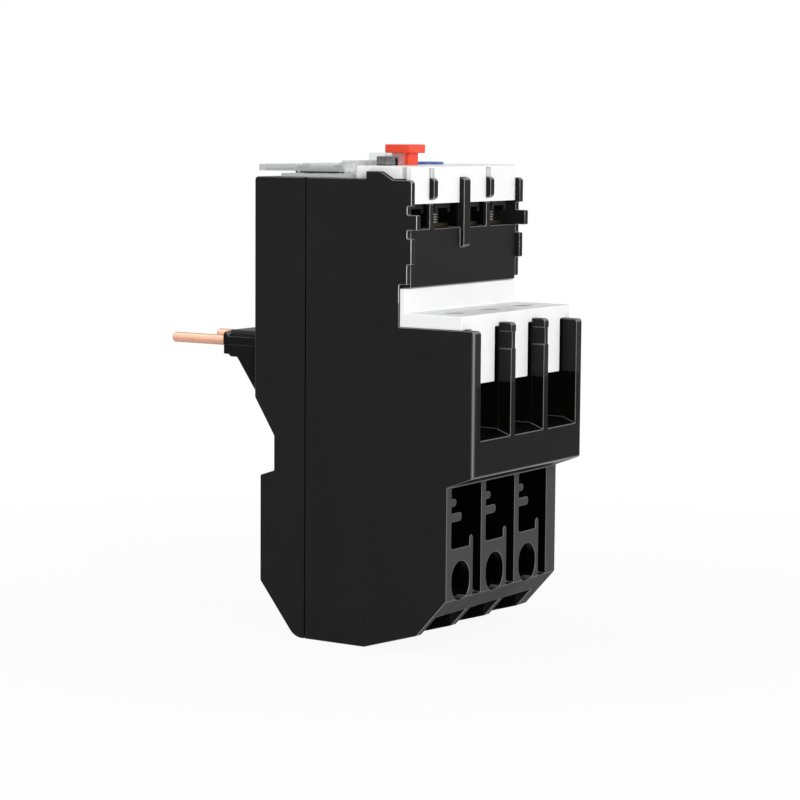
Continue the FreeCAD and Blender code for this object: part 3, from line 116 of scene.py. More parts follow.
# Places on the terminals, the white parts and the lid, in millimetres
SMALL_BAYS = {"X": (10, 17.2), "Z": (87.2, 99)}
BAR_ENDS = {"X": (9, 19), "Z": (84, 91)}
ABOVE_RIB_1 = {"X": (16.8, 17.72), "Y": (-14.0, -12.1), "Z": (97.4, 99.5)}
ABOVE_RIB_2 = {"X": (16.8, 17.72), "Y": (8.6, 10.5), "Z": (97.4, 99.5)}
SKIRT_END = {"X": (15.3, 16.6), "Y": (-20.8, -20.2), "Z": (96, 99.85)}
FACE_TOP = {"X": (-30, 20), "Z": (99.6, 100.3)}
SHELF_TOP = {"X": (17, 29), "Z": (69.8, 70.4)}
POLES = (-13.6, 0, 13.6)
SHELF_HOLES = [{"X": (21, 26.6), "Y": (pole - 2.8, pole + 2.8), "Z": (60, 69.95)} for pole in POLES]
LID_END = {"X": (0.5, 12), "Z": (98, 101.2)}
HOOD = {"X": (3.6, 10.6), "Y": (-18, -10.6), "Z": (99.95, 103)}

# How much lighter, above 1, or darker each of these places is coloured than the rest of its moulding
# Painted light on the lower front and the posts' tops; painted shade on the chamfer, cells, bays, posts
# and block front
HOUSING_ZONES = ((4.2, LOWER_FRONT), (0.9, CHAMFER), (0.1, CELL_INSIDE), (0.1, CELL_MOUTHS), (0.2, BAYS),
                 (0.16, POSTS), (1.25, POST_TOPS), (0.3, BLOCK_FRONT), (0.8, SEAL_POST))
# Painted shade above the short ribs, at the skirt's end, on the face's top and in the shelf holes;
# painted light on the shelf top
WHITE_ZONES = ((0.58, ABOVE_RIB_1), (0.58, ABOVE_RIB_2), (0.6, SKIRT_END), (0.9, FACE_TOP),
               (1.1, SHELF_TOP), *((0.2, hole) for hole in SHELF_HOLES))

# Over how far the colour of such a place fades into its surroundings
ZONE_FADE = 0.12 * MM

# Places painted darker than this, as painted shade, lose the coat's gloss and painted highlight of their
# edges too
DARK = 0.15

# How fast the edge mask of coat gloss and painted highlight grows as the surface turns from the axes,
# and the gleam fades as it turns up
EDGE_RISE = 3.6
LEVEL_FALL = 1.4

# How light the edges are painted, as painted highlight: on a piece with no gleam, and outside and inside
# of a gleam
RIM_GREY = 0.3
DULL_RIM, BRIGHT_RIM = 0.22, 0.9

# The dial's middle in millimetres, and the light mark at its rim
DIAL_X, DIAL_Y = (place / MM for place in JOINTS["dial_turn"]["pos_m"][:2])
DIAL_MARK = {"X": (DIAL_X + 3.5, DIAL_X + 4.6), "Y": (DIAL_Y - 0.4, DIAL_Y + 0.4), "Z": (98.2, 99)}

# The setting scale on the tray's floor round the dial, as numbers and their angles in degrees
TRAY_FLOOR = 98.0
SCALE = ((-80, "1.6"), (-40, "1.8"), (0, "2"), (40, "2.2"), (80, "2.5"))
NUMBER_RING = 7.2 * MM
NUMBER_HEIGHT = 1.5 * MM
INK_THICKNESS = 0.02 * MM

# A tick of the scale before it is moved to the dial and turned, as two corners in millimetres
TICK = ((4.9, -0.09, -0.01), (5.9, 0.09, 0.03))

# The springs under the buttons, with the joint that presses each
SPRINGS = (("stop_spring", "stop_press"), ("reset_spring", "reset_press"), ("test_spring", "test_press"))

# The terminal screws, with the level in millimetres where head and thread meet
SCREWS = (("main_terminal_screws", 60.0), ("aux_terminal_screws", 92.1))
THREAD_PITCH = 0.55 * MM
ZINC = (0.62, 0.63, 0.64)
ZINC_ROUGHNESS = 0.26

# How far the fingers of the terminal cover reach below their node, and under which level they are moved
FINGER_DROP = 1.55 * MM
FINGER_LEVEL = 58 * MM

# The crowns over the collars of the pin holder, in millimetres: the ends of each along Y, and the back,
# front, foot and top that they share
CROWNS = ((-21.15, -7.9), (-6.2, 6.2), (7.9, 21.15))
CROWN_BACK, CROWN_FRONT = -29.55, -20.25
CROWN_FOOT, CROWN_TOP = 61.2, 64.4

# The radii of a crown's top at its back and along its sides, and of all its other edges
CROWN_BACK_ROUND = 1.5 * MM
CROWN_SIDE_ROUND = 2.0 * MM
CROWN_EDGE = 0.1 * MM

# How much shorter the third plug pin is drawn, and how much of its end is moved for that
PIN_CUT = 1.4 * MM
PIN_TIP = 2 * MM

# The thin setting face and the lid have smaller rounds, as shares of the mouldings' edge round
FACE_SHARE = 0.4
LID_SHARE = 0.7

# Angles: the least one of a sharp edge, the largest that is shaded smooth, and the largest that is flat
SHARP_ANGLE = math.radians(28)
SMOOTH_ANGLE = math.radians(50)
FLAT_ANGLE = math.radians(0.5)

# A face narrower than the first, whose normal has no part above the second, is a round of the mould
NARROW = 0.35 * MM
ALONG_AXIS = 0.996

# Material slots while a piece is being rounded
FACES, ROUNDS = 0, 1


class RelayLook(bpy.types.PropertyGroup):
    """Sizes and colours of the relay's finish"""

    edge_round: bpy.props.FloatProperty(
        name="Edge round", description="Radius of the softened edges of the mouldings",
        default=0.2 * MM, unit="LENGTH")
    metal_round: bpy.props.FloatProperty(
        name="Metal edge", description="Radius of the softened edges of pins, screws and clamps",
        default=0.1 * MM, unit="LENGTH")
    housing_colour: bpy.props.FloatVectorProperty(
        name="Housing", description="Colour of the two black housing halves",
        default=(0.0125, 0.0125, 0.0129), subtype="COLOR")
    holder_colour: bpy.props.FloatVectorProperty(
        name="Pin holder", description="Colour of the bar that holds the plug pins",
        default=(0.005, 0.005, 0.0053), subtype="COLOR")
    panel_colour: bpy.props.FloatVectorProperty(
        name="Terminal block", description="Colour of the auxiliary terminal block",
        default=(0.0135, 0.0135, 0.014), subtype="COLOR")
    white_colour: bpy.props.FloatVectorProperty(
        name="White parts", description="Colour of the setting face and of the terminal cover",
        default=(0.86, 0.86, 0.865), subtype="COLOR")
    stop_colour: bpy.props.FloatVectorProperty(
        name="Stop button", description="Colour of the red stop button",
        default=(0.87, 0.068, 0.026), subtype="COLOR")
    reset_colour: bpy.props.FloatVectorProperty(
        name="Reset button", description="Colour of the blue reset button",
        default=(0.045, 0.115, 0.36), subtype="COLOR")
    copper_colour: bpy.props.FloatVectorProperty(
        name="Copper", description="Colour of the plug pins",
        default=(0.73, 0.405, 0.29), subtype="COLOR")


class Value:
    """A shader socket that adds Math nodes when it meets an operator"""

    def __init__(self, tree, socket):
        self.tree = tree
        self.socket = socket

    def math(self, operation, *others):
        return self.tree.node("ShaderNodeMath", {"operation": operation}, (self, *others))

    def __add__(self, other):
        return self.math("ADD", other)

    def __radd__(self, other):
        return self.math("ADD", other)

    def __rsub__(self, other):
        return self.tree.node("ShaderNodeMath", {"operation": "SUBTRACT"}, (other, self))

    def __mul__(self, other):
        return self.math("MULTIPLY", other)

    def clamped(self):
        return self.tree.node("ShaderNodeClamp", {}, (self,))


class Finish:
    """The nodes of one material, or of the world"""

    def __init__(self, owner):
        self.owner = owner
        owner.use_nodes = True
        self.nodes = owner.node_tree.nodes
        self.links = owner.node_tree.links
        self.nodes.clear()

    def node(self, kind, settings, inputs, output=0):
        """Add a node: its settings first, then the values or links of its sockets"""
        added = self.nodes.new(kind)
        for key, value in settings.items():
            setattr(added, key, value)
        pairs = inputs.items() if isinstance(inputs, dict) else enumerate(inputs)
        for key, value in pairs:
            if isinstance(value, Value):
                self.links.new(value.socket, added.inputs[key])
            else:
                added.inputs[key].default_value = value
        return Value(self, added.outputs[output])

    @cached_property
    def place(self):
        """The place on the object"""
        return self.node("ShaderNodeTexCoord", {}, (), "Object")

    def noise(self, scale, detail=3.0, rough=0.5, stretch=(1, 1, 1)):
        """Noise between 0 and 1; the scale is in cells per metre"""
        spread = self.node("ShaderNodeMapping", {}, {"Vector": self.place, "Scale": stretch})
        sockets = {"Vector": spread, "Scale": scale, "Detail": detail, "Roughness": rough}
        return self.node("ShaderNodeTexNoise", {}, sockets, "Fac")

    def span(self, value, low, high):
        """Spread a value that runs from low to high over 0 to 1"""
        return self.node("ShaderNodeMapRange", {"clamp": True},
                         {"Value": value, "From Min": low, "From Max": high})

    def part(self, vector, axis):
        """The part of a vector along one axis"""
        return self.node("ShaderNodeSeparateXYZ", {}, (vector,), "XYZ".index(axis))

    def zone(self, edge=0.3 * MM, **limits):
        """1 inside a box given in millimetres, fading to 0 over the edge's width"""
        inside = None
        for axis, (low, high) in limits.items():
            place = self.part(self.place, axis)
            side = (self.span(place, low * MM, low * MM + edge)
                    * self.span(place, high * MM, high * MM - edge))
            inside = side if inside is None else inside * side
        return inside

    def facing(self, axis):
        """How far the surface faces along one axis, from 0 to 1"""
        normal = self.node("ShaderNodeTexCoord", {}, (), "Normal")
        return self.part(normal, axis).math("ABSOLUTE")

    def edges(self):
        """1 on the middle of the rounded edges, 0 on the faces between them"""
        x, y, z = (self.facing(axis) for axis in "XYZ")
        turned = ((1.0 - x.math("MAXIMUM", y).math("MAXIMUM", z)) * EDGE_RISE).clamped()
        return turned * self.node("ShaderNodeAttribute", {"attribute_name": "rim"}, (), "Fac")

    def upright(self):
        """1 on the edges that run up, 0 on the level ones"""
        return (1.0 - self.facing("Z") * LEVEL_FALL).clamped()

    def blend(self, factor, first, second):
        """Mix two colours"""
        return self.node("ShaderNodeMix", {"data_type": "RGBA"}, {0: factor, 6: first, 7: second}, 2)

    def bump(self, height, strength, distance):
        sockets = {"Height": height, "Strength": strength, "Distance": distance}
        return self.node("ShaderNodeBump", {}, sockets)

    def surface(self, **sockets):
        """The main shader, with its sockets named with underscores for spaces"""
        named = {key.replace("_", " "): value for key, value in sockets.items()}
        return self.node("ShaderNodeBsdfPrincipled", {}, named)

    def finish(self, shader, kind="ShaderNodeOutputMaterial"):
        """Lead the shader to the output, and give back what owns the nodes"""
        output = self.nodes.new(kind)
        self.links.new(shader.socket, output.inputs["Surface"])
        return self.owner


def new_finish(name):
    """The nodes of a new material"""
    return Finish(bpy.data.materials.new(name))


def grey(level):
    return (level, level, level, 1)


def shaded(colour, factor):
    """The same colour, lighter or darker"""
    return tuple(min(1.0, channel * factor) for channel in colour[:3]) + (1,)


def moulded(name, colour, roughness, grain=0.22, spread=0.12, specular=0.5, zones=(), polish_and_highlight=0.0,
            gleam=None):
    """Injection-moulded plastic with a fine spark-eroded grain and faint flow marks

    A zone is a box in millimetres with the factor by which the colour changes in it, as painted light or
    shade, or as the dial's printed mark. The polish share is the coat's gloss that the tool's radii
    leave on the edges, and how far their colour is lightened as a painted highlight. Gleam is a box
    where that painted highlight is brightest.
    """
    look = new_finish(name)
    flow = look.span(look.noise(60, detail=4, rough=0.6, stretch=(1, 1, 0.4)), 0.3, 0.7)
    cloud = look.span(look.noise(420), 0.3, 0.7)
    tone = look.blend(flow * 0.6 + cloud * 0.4, shaded(colour, 1 - spread), shaded(colour, 1 + spread))
    for factor, limits in zones:
        tone = look.blend(look.zone(ZONE_FADE, **limits), tone, shaded(colour, factor))
    fine = look.noise(5200, detail=2, rough=0.6)
    coarse = look.noise(1500, detail=2)
    shine = roughness - 0.07 + (flow * 0.5 + cloud * 0.5) * 0.14
    relief = look.bump(fine * 0.6 + coarse * 0.4, grain, 0.04 * MM)
    sockets = {"Base_Color": tone, "Roughness": shine, "Normal": relief, "Specular_IOR_Level": specular}
    if polish_and_highlight:
        rim = look.edges() * (1.0 - look.zone(**SEAM))
        for factor, limits in zones:
            if factor < DARK:
                rim = rim * (1.0 - look.zone(ZONE_FADE, **limits))
        # The edges' colour is lightened toward a grey as a painted highlight; the coat gives them real
        # gloss
        glint = grey(RIM_GREY)
        if gleam:
            glint = look.blend(look.zone(**gleam) * look.upright(), grey(DULL_RIM), grey(BRIGHT_RIM))
        sockets["Base_Color"] = look.blend(rim * (polish_and_highlight * 0.9), tone, glint)
        sockets["Coat_Weight"] = rim * polish_and_highlight
        sockets["Coat_Roughness"] = 0.16
    return look.finish(look.surface(**sockets))


def stamped(name, colour, roughness, drawn=(1, 1, 1), tarnish=0.5, scratch=0.25, zones=(), turned=0.0):
    """Sheet or drawn metal with rolling lines, faint tarnish and small scratches

    Turned is how far the colour is darkened, as painted shade, where the surface turns away from the
    eye.
    """
    look = new_finish(name)
    lines = look.noise(2400, rough=0.6, stretch=drawn)
    stain = look.span(look.noise(170, detail=5, rough=0.65), 0.35, 0.75)
    tone = look.blend(stain * tarnish, shaded(colour, 1.06), shaded(colour, 0.62))
    # Each zone darkens or lightens a box given in millimetres, as painted shade or light
    for factor, limits in zones:
        tone = look.blend(look.zone(**limits), tone, shaded(colour, factor))
    if turned:
        away = look.node("ShaderNodeLayerWeight", {}, {"Blend": 0.5}, "Facing")
        tone = look.blend(away.math("POWER", 2.0) * turned, tone, shaded(colour, 0.35))
    shine = roughness + stain * 0.12 + lines * 0.1
    relief = look.bump(lines, scratch, 0.02 * MM)
    return look.finish(look.surface(Base_Color=tone, Roughness=shine, Metallic=1.0, Normal=relief))


def clear_plastic(name):
    """Clear moulded lid with scuffs: faintly grey, denser at its edges, and clearer at its hood"""
    look = new_finish(name)
    scuff = look.span(look.noise(300, rough=0.6), 0.5, 0.8)
    shine = 0.1 + scuff * 0.1
    cloud = look.blend(look.span(look.noise(90, detail=2), 0.3, 0.7), grey(0.42), grey(0.52))
    tone = look.blend(look.zone(1.5 * MM, **LID_END), cloud, grey(0.82))
    glossy = look.surface(Base_Color=tone, Roughness=shine, Specular_IOR_Level=0.5)
    see_through = look.node("ShaderNodeBsdfTransparent", {}, {"Color": (0.94, 0.945, 0.95, 1)})
    rim = look.node("ShaderNodeLayerWeight", {}, {"Blend": 0.3}, "Facing")
    share = (0.13 + (1.0 - look.facing("Z")) * 0.4 + rim * 0.2) * (1.0 - look.zone(**HOOD) * 0.72)
    return look.finish(look.node("ShaderNodeMixShader", {}, {0: share, 1: see_through, 2: glossy}))


def threaded(name, head):
    """Zinc-plated steel whose shank is threaded below the head's level in millimetres and darkened in
    bands as painted shade
    """
    look = new_finish(name)
    turns = (look.part(look.place, "Z") * (math.tau / THREAD_PITCH)).math("SINE")
    shank = look.zone(Z=(0, head))
    stain = look.span(look.noise(170, detail=5, rough=0.65), 0.35, 0.75)
    tone = look.blend(shank * (0.55 - turns * 0.4), shaded(ZINC, 1.0), shaded(ZINC, 0.12))
    shine = ZINC_ROUGHNESS + stain * 0.12
    relief = look.bump(turns * shank, 0.9, 0.16 * MM)
    return look.finish(look.surface(Base_Color=tone, Roughness=shine, Metallic=1.0, Normal=relief))


def deselect():
    if bpy.context.mode != "OBJECT":
        bpy.ops.object.mode_set(mode="OBJECT")
    bpy.ops.object.select_all(action="DESELECT")


def activate(piece):
    """Make a piece the active one, and the only one that is selected"""
    deselect()
    piece.select_set(True)
    bpy.context.view_layer.objects.active = piece


def apply_modifier(piece, kind, **settings):
    activate(piece)
    modifier = piece.modifiers.new(kind.title(), kind)
    for key, value in settings.items():
        setattr(modifier, key, value)
    bpy.ops.object.modifier_apply(modifier=modifier.name)


def copied(node):
    """A merged copy of a node's mesh, with its flat triangles joined into whole faces"""
    source = frame["nodes"][node]
    piece = source.copy()
    piece.data = source.data.copy()
    piece.parent = None
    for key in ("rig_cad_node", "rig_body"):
        if key in piece:
            del piece[key]
    piece.name = node + "_shown"
    bpy.context.scene.collection.objects.link(piece)
    activate(piece)
    bpy.ops.object.mode_set(mode="EDIT")
    bpy.ops.mesh.select_all(action="SELECT")
    bpy.ops.mesh.remove_doubles(threshold=0.002 * MM)
    bpy.ops.mesh.dissolve_limited(angle_limit=FLAT_ANGLE)
    bpy.ops.object.mode_set(mode="OBJECT")
    return piece


def rounded(piece, width):
    """Round every sharp edge, mark the rounds, and keep the flat faces flat in their shading"""
    low, high = ([pick(vertex.co[axis] for vertex in piece.data.vertices) for axis in range(3)]
                 for pick in (min, max))
    piece.data.materials.clear()
    for slot in (FACES, ROUNDS):
        piece.data.materials.append(None)
    apply_modifier(piece, "BEVEL", width=width, segments=3, limit_method="ANGLE",
                   angle_limit=SHARP_ANGLE, use_clamp_overlap=False, miter_outer="MITER_ARC",
                   harden_normals=False, material=ROUNDS)
    for vertex in piece.data.vertices:
        vertex.co = [min(max(place, least), most) for place, least, most in zip(vertex.co, low, high)]
    rim = piece.data.attributes.new("rim", "FLOAT", "FACE")
    for face in piece.data.polygons:
        ends = [piece.data.vertices[index].co for index in face.vertices]
        outline = sum((end - before).length for end, before in zip(ends, ends[-1:] + ends[:-1]))
        turned = max(abs(part) for part in face.normal) < ALONG_AXIS
        narrow = 2 * face.area < NARROW * outline
        rim.data[face.index].value = float(face.material_index == ROUNDS or turned and narrow)
        face.material_index = FACES
    activate(piece)
    bpy.ops.object.shade_smooth_by_angle(angle=SMOOTH_ANGLE)
    apply_modifier(piece, "WEIGHTED_NORMAL", mode="FACE_AREA", weight=100, keep_sharp=True)


def softened(node, body, width, material):
    """A node's copy with its sharp edges rounded, standing for the node"""
    piece = copied(node)
    rounded(piece, width)
    dress(piece, material)
    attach(piece, body)
    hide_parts(node)
    return piece


def select_only(piece, kind, chosen):
    """Enter edit mode with just the vertices or edges that the test picks by their ends"""
    activate(piece)
    bpy.ops.object.mode_set(mode="EDIT")
    bpy.ops.mesh.select_mode(type=kind)
    bpy.ops.mesh.select_all(action="DESELECT")
    bpy.ops.object.mode_set(mode="OBJECT")
    mesh = piece.data
    for item in mesh.vertices if kind == "VERT" else mesh.edges:
        ends = [item.co] if kind == "VERT" else [mesh.vertices[index].co for index in item.vertices]
        item.select = chosen(ends)
    bpy.ops.object.mode_set(mode="EDIT")


def move_end(piece, step, chosen):
    """Move the vertices that the test picks"""
    select_only(piece, "VERT", chosen)
    bpy.ops.transform.translate(value=step)
    bpy.ops.object.mode_set(mode="OBJECT")


def block(name, low, high):
    """A block between two corners given in millimetres"""
    deselect()
    bpy.ops.mesh.primitive_cube_add(size=1)
    piece = bpy.context.active_object
    piece.name = name
    bpy.ops.object.mode_set(mode="EDIT")
    bpy.ops.mesh.select_all(action="SELECT")
    bpy.ops.transform.resize(value=[(far - near) * MM for near, far in zip(low, high)])
    bpy.ops.transform.translate(value=[(near + far) / 2 * MM for near, far in zip(low, high)])
    bpy.ops.object.mode_set(mode="OBJECT")
    return piece


def placed(piece):
    """Move an object's place and turn into its mesh"""
    activate(piece)
    bpy.ops.object.transform_apply(location=True, rotation=True, scale=True)


def dress(piece, material):
    """Give a piece one finish all over"""
    piece.data.materials.clear()
    piece.data.materials.append(material)


def dress_node(node, material):
    """Give a node that is shown as it is its own finish"""
    dress(frame["nodes"][node], material)


def body_of(node):
    """The body that carries a node"""
    groups = frame["record"]["behaviour"]["bodies"]
    return next(name for name, members in groups.items() if node in members)


def soften_all(nodes, width, material):
    """Round each node in turn and give it a finish and the record's slot"""
    for node in nodes:
        piece = softened(node, body_of(node), width, material)


class RELAY_OT_housing(bpy.types.Operator):
    """Both black halves of the housing"""

    bl_idname = "relay.housing"
    bl_label = "Housing"

    def execute(self, context):
        choice = context.scene.relay_look
        # Painted light and shade in the zones, and a painted highlight on the edges, brightest at the
        # lugs
        black = moulded("housing_plastic", choice.housing_colour, roughness=0.42, specular=0.05,
                        zones=HOUSING_ZONES, polish_and_highlight=0.9, gleam=LUG_EDGES)
        soften_all(["main_housing", "rear_shell"], choice.edge_round, black)
        return {"FINISHED"}


def is_high(end):
    """Whether a point of a crown is on its top"""
    return end.z > (CROWN_TOP - 0.4) * MM


def is_back_edge(ends):
    """Whether an edge is the back one of a crown's top"""
    return all(is_high(end) and end.x < (CROWN_BACK + 0.5) * MM for end in ends)


def is_side_edge(ends):
    """Whether an edge runs along a side of a crown's top"""
    return all(is_high(end) for end in ends) and abs(ends[0].y - ends[1].y) < 0.01 * MM


class RELAY_OT_pin_holder(bpy.types.Operator):
    """The bar round the plug pins"""

    bl_idname = "relay.pin_holder"
    bl_label = "Pin holder"

    def execute(self, context):
        choice = context.scene.relay_look
        # Its edges take the coat's gloss and a painted highlight
        black = moulded("holder_plastic", choice.holder_colour, roughness=0.4, specular=0.06, polish_and_highlight=0.4)
        soften_all(["pin_carrier"], choice.edge_round, black)
        for number, (near, far) in enumerate(CROWNS, 1):
            crown = block(f"holder_crown_{number}", (CROWN_BACK, near, CROWN_FOOT),
                          (CROWN_FRONT, far, CROWN_TOP))
            select_only(crown, "EDGE", is_back_edge)
            bpy.ops.mesh.bevel(offset=CROWN_BACK_ROUND, segments=6, affect="EDGES")
            select_only(crown, "EDGE", is_side_edge)
            bpy.ops.mesh.bevel(offset=CROWN_SIDE_ROUND, segments=6, affect="EDGES")
            bpy.ops.object.mode_set(mode="OBJECT")
            rounded(crown, CROWN_EDGE)
            dress(crown, black)
            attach(crown, "base")
        return {"FINISHED"}


class RELAY_OT_pins(bpy.types.Operator):
    """The three copper plug pins"""

    bl_idname = "relay.pins"
    bl_label = "Plug pins"

    def execute(self, context):
        choice = context.scene.relay_look
        # The copper is darkened as painted shade where it turns away from the eye
        copper = stamped("drawn_copper", choice.copper_colour, roughness=0.34, drawn=(0.06, 1, 1),
                         tarnish=0.2, scratch=0.012, turned=0.9)
        soften_all([f"line_pin_{number}" for number in (1, 2, 3)], choice.metal_round, copper)
        pin = bpy.data.objects["line_pin_3_shown"]
        tip = min(vertex.co.x for vertex in pin.data.vertices)
        move_end(pin, (PIN_CUT, 0, 0), lambda ends: ends[0].x < tip + PIN_TIP)
        return {"FINISHED"}


class RELAY_OT_terminal_block(bpy.types.Operator):
    """The black block of the auxiliary terminals"""

    bl_idname = "relay.terminal_block"
    bl_label = "Auxiliary block"

    def execute(self, context):
        choice = context.scene.relay_look
        # The small bays are darkened as painted shade; the edges take coat gloss and a painted highlight
        black = moulded("panel_plastic", choice.panel_colour, roughness=0.5, specular=0.05,
                        zones=((0.12, SMALL_BAYS),), polish_and_highlight=0.9)
        soften_all(["aux_terminal_block"], choice.edge_round, black)
        return {"FINISHED"}


class RELAY_OT_white_parts(bpy.types.Operator):
    """The setting face and the cover over the cable screws"""

    bl_idname = "relay.white_parts"
    bl_label = "White parts"

    def execute(self, context):
        choice = context.scene.relay_look
        white = moulded("white_plastic", choice.white_colour, roughness=0.4, grain=0.2, spread=0.02,
                        zones=WHITE_ZONES)
        soften_all(["faceplate"], choice.edge_round * FACE_SHARE, white)
        soften_all(["terminal_cover"], choice.edge_round, white)
        cover = bpy.data.objects["terminal_cover_shown"]
        move_end(cover, (0, 0, -FINGER_DROP), lambda ends: ends[0].z < FINGER_LEVEL)
        return {"FINISHED"}


class RELAY_OT_buttons(bpy.types.Operator):
    """Stop, reset and test buttons"""

    bl_idname = "relay.buttons"
    bl_label = "Buttons"

    def execute(self, context):
        choice = context.scene.relay_look
        red = moulded("stop_plastic", choice.stop_colour, roughness=0.34, grain=0.15, spread=0.05,
                      specular=0.3)
        blue = moulded("reset_plastic", choice.reset_colour, roughness=0.34, grain=0.15, spread=0.08,
                       specular=0.3)
        grey_plastic = moulded("plunger_plastic", (0.26, 0.27, 0.28), roughness=0.45)
        soften_all(["stop_button"], choice.edge_round, red)
        soften_all(["reset_button"], choice.edge_round, blue)
        soften_all(["reset_plunger", "test_button"], choice.edge_round, grey_plastic)
        return {"FINISHED"}


class RELAY_OT_dial(bpy.types.Operator):
    """The current dial under the lid"""

    bl_idname = "relay.dial"
    bl_label = "Setting dial"

    def execute(self, context):
        choice = context.scene.relay_look
        black = moulded("dial_plastic", (0.03, 0.03, 0.032), roughness=0.4, zones=((30.0, DIAL_MARK),))
        soften_all(["setting_dial"], choice.edge_round, black)
        ink = moulded("scale_ink", (0.02, 0.02, 0.022), roughness=0.6)
        middle = Vector((DIAL_X, DIAL_Y, TRAY_FLOOR)) * MM
        pieces = []
        for angle, label in SCALE:
            turn = math.radians(angle)
            outward = Vector((math.cos(turn), math.sin(turn), 0))
            deselect()
            bpy.ops.object.text_add(location=middle + outward * NUMBER_RING,
                                    rotation=(0, 0, turn + math.pi / 2))
            number = context.active_object
            number.data.body = label
            number.data.size = NUMBER_HEIGHT
            number.data.align_x = number.data.align_y = "CENTER"
            number.data.extrude = INK_THICKNESS
            bpy.ops.object.convert(target="MESH")
            pieces.append(context.active_object)
            tick = block("tick", *TICK)
            tick.location = middle
            tick.rotation_euler = (0, 0, turn)
            pieces.append(tick)
        for piece in pieces:
            placed(piece)
        deselect()
        for piece in pieces:
            piece.select_set(True)
        context.view_layer.objects.active = pieces[0]
        bpy.ops.object.join()
        scale = pieces[0]
        scale.name = "dial_scale"
        dress(scale, ink)
        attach(scale, "base")
        return {"FINISHED"}


class RELAY_OT_lid(bpy.types.Operator):
    """The clear lid"""

    bl_idname = "relay.lid"
    bl_label = "Clear lid"

    def execute(self, context):
        choice = context.scene.relay_look
        clear = clear_plastic("lid_plastic")
        soften_all(["clear_cover"], choice.edge_round * LID_SHARE, clear)
        return {"FINISHED"}


class RELAY_OT_screws(bpy.types.Operator):
    """Screws and clamps of all terminals"""

    bl_idname = "relay.screws"
    bl_label = "Screws and clamps"

    def execute(self, context):
        choice = context.scene.relay_look
        zinc = stamped("zinc_steel", ZINC, roughness=ZINC_ROUGHNESS)
        # The small terminals' clamps are coloured near black, as painted shade in their bays
        steel_in_shade = stamped("steel_in_painted_shade", (0.014, 0.014, 0.015), roughness=0.4)
        soften_all(["main_clamps"], choice.metal_round, zinc)
        soften_all(["aux_clamps"], choice.metal_round, steel_in_shade)
        for node, head in SCREWS:
            soften_all([node], choice.metal_round, threaded(node + "_steel", head))
        dress_node("hinge_pin", zinc)
        for node, joint in SPRINGS:
            spring = copied(node)
            dress(spring, zinc)
            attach(spring, "base")
            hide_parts(node)
            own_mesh(spring)
        return {"FINISHED"}


class RELAY_OT_current_path(bpy.types.Operator):
    """Brass bars, heaters, bimetal strips and contact bridges"""

    bl_idname = "relay.current_path"
    bl_label = "Current path"

    def execute(self, context):
        choice = context.scene.relay_look
        # The bar ends in the small bays are darkened as painted shade
        brass = stamped("stamped_brass", (0.72, 0.53, 0.24), roughness=0.27, zones=((0.03, BAR_ENDS),))
        ribbon = stamped("heater_ribbon", (0.36, 0.33, 0.30), roughness=0.4, drawn=(1, 1, 0.1))
        strip = stamped("bimetal", (0.55, 0.53, 0.49), roughness=0.3, drawn=(1, 1, 0.05))
        soften_all([f"load_bar_{number}" for number in (1, 2, 3)]
                   + [f"aux_terminal_bar_{number}" for number in (1, 2, 3, 4)],
                   choice.metal_round, brass)
        for node in ("break_bridge", "make_bridge"):
            dress_node(node, brass)
        for number in (1, 2, 3):
            dress_node(f"heater_{number}", ribbon)
            dress_node(f"bimetal_{number}", strip)
        dress_node("compensation_lever", strip)
        return {"FINISHED"}


class RELAY_OT_mechanism(bpy.types.Operator):
    """Slides, levers and their plates inside"""

    bl_idname = "relay.mechanism"
    bl_label = "Trip mechanism"

    def execute(self, context):
        natural = moulded("mechanism_plastic", (0.42, 0.37, 0.29), roughness=0.5)
        for node in ("trip_slide", "differential_slide", "trip_lever", "contact_rocker", "bimetal_frame",
                     "mechanism_plate"):
            dress_node(node, natural)
        return {"FINISHED"}


def area_light(name, place, size, power):
    """A soft lamp that faces the middle"""
    lamp = bpy.data.lights.new(name, "AREA")
    lamp.shape = "RECTANGLE"
    lamp.size, lamp.size_y = size
    lamp.energy = power
    holder = bpy.data.objects.new(name, lamp)
    bpy.context.scene.collection.objects.link(holder)
    holder.location = place
    holder.rotation_euler = (MIDDLE - Vector(place)).to_track_quat("-Z", "Y").to_euler()


def is_seen(look):
    """1 where a ray comes from the camera, or by gloss or through clear plastic"""
    paths = [look.node("ShaderNodeLightPath", {}, (), name)
             for name in ("Is Camera Ray", "Is Glossy Ray", "Is Transmission Ray")]
    return (paths[0] + paths[1] + paths[2]).clamped()


def pale_floor():
    """Pale matt floor that shows nearly white, and keeps the object's shadow near it"""
    look = new_finish("pale_floor")
    matt = look.node("ShaderNodeBsdfDiffuse", {}, {"Color": grey(0.8)})
    lit = look.node("ShaderNodeEmission", {}, {"Color": grey(1.0), "Strength": 1.0})
    away = look.node("ShaderNodeVectorMath", {"operation": "LENGTH"}, (look.place,), "Value")
    share = is_seen(look) * (FLOOR_WHITE + look.span(away, *FLOOR_FADE) * (1 - FLOOR_WHITE))
    return look.finish(look.node("ShaderNodeMixShader", {}, {0: share, 1: matt, 2: lit}))


def surroundings():
    """White where they are seen, and dimmer as a light"""
    look = Finish(bpy.data.worlds.new("surroundings"))
    level = WORLD_LIGHT + is_seen(look) * (1 - WORLD_LIGHT)
    light = look.node("ShaderNodeBackground", {}, {"Color": grey(1.0), "Strength": level})
    return look.finish(light, "ShaderNodeOutputWorld")


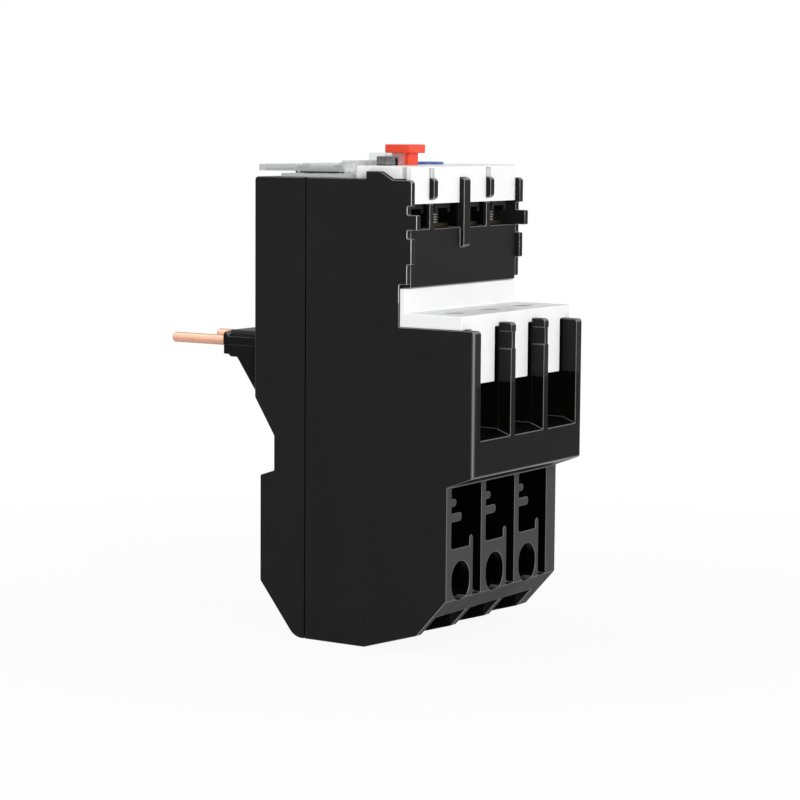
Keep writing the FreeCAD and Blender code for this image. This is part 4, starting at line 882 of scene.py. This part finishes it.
def photo_camera():
    """A camera that looks at the object as the photograph's does"""
    camera = bpy.data.cameras.new("camera")
    camera.lens = CAMERA_LENS
    camera.sensor_width = SENSOR
    camera.sensor_fit = "HORIZONTAL"
    camera.clip_start = 0.01
    holder = bpy.data.objects.new("camera", camera)
    bpy.context.scene.collection.objects.link(holder)
    back = CAMERA_RIGHT.cross(CAMERA_UP).normalized()
    up = back.cross(CAMERA_RIGHT).normalized()
    turn = Matrix((CAMERA_RIGHT.normalized(), up, back)).transposed().to_4x4()
    holder.matrix_world = Matrix.Translation(CAMERA_PLACE) @ turn
    return holder


class RELAY_OT_stage(bpy.types.Operator):
    """Pale floor, soft lights, white surroundings and the camera"""

    bl_idname = "relay.stage"
    bl_label = "Stage"

    def execute(self, context):
        scene = context.scene
        scene.view_settings.view_transform = "Standard"
        bpy.ops.mesh.primitive_plane_add(size=FLOOR_SIDE)
        floor = context.active_object
        floor.name = "floor"
        dress(floor, pale_floor())
        scene.world = surroundings()
        for lamp in LAMPS:
            area_light(*lamp)
        scene.camera = photo_camera()
        return {"FINISHED"}


class RELAY_PT_panel(bpy.types.Panel):
    """Lists the relay's pieces"""

    bl_idname = "RELAY_PT_panel"
    bl_label = "Overload relay"
    bl_space_type = "VIEW_3D"
    bl_region_type = "UI"
    bl_category = "Relay"

    def draw(self, context):
        choice = context.scene.relay_look
        for name in choice.__annotations__:
            self.layout.prop(choice, name)
        for piece in PIECES:
            self.layout.operator(piece.bl_idname)


PIECES = (RELAY_OT_housing, RELAY_OT_pin_holder, RELAY_OT_pins, RELAY_OT_terminal_block,
          RELAY_OT_white_parts, RELAY_OT_buttons, RELAY_OT_dial, RELAY_OT_lid, RELAY_OT_screws,
          RELAY_OT_current_path, RELAY_OT_mechanism, RELAY_OT_stage)
CLASSES = (RelayLook, *PIECES, RELAY_PT_panel)


def register():
    for entry in CLASSES:
        bpy.utils.register_class(entry)
    bpy.types.Scene.relay_look = bpy.props.PointerProperty(type=RelayLook)


def unregister():
    del bpy.types.Scene.relay_look
    for entry in reversed(CLASSES):
        bpy.utils.unregister_class(entry)


def main():
    """Finish every piece"""
    register()
    bpy.ops.relay.housing()
    bpy.ops.relay.pin_holder()
    bpy.ops.relay.pins()
    bpy.ops.relay.terminal_block()
    bpy.ops.relay.white_parts()
    bpy.ops.relay.buttons()
    bpy.ops.relay.dial()
    bpy.ops.relay.lid()
    bpy.ops.relay.screws()
    bpy.ops.relay.current_path()
    bpy.ops.relay.mechanism()
    bpy.ops.relay.stage()
    deselect()


if __name__ == "__main__":
    main()
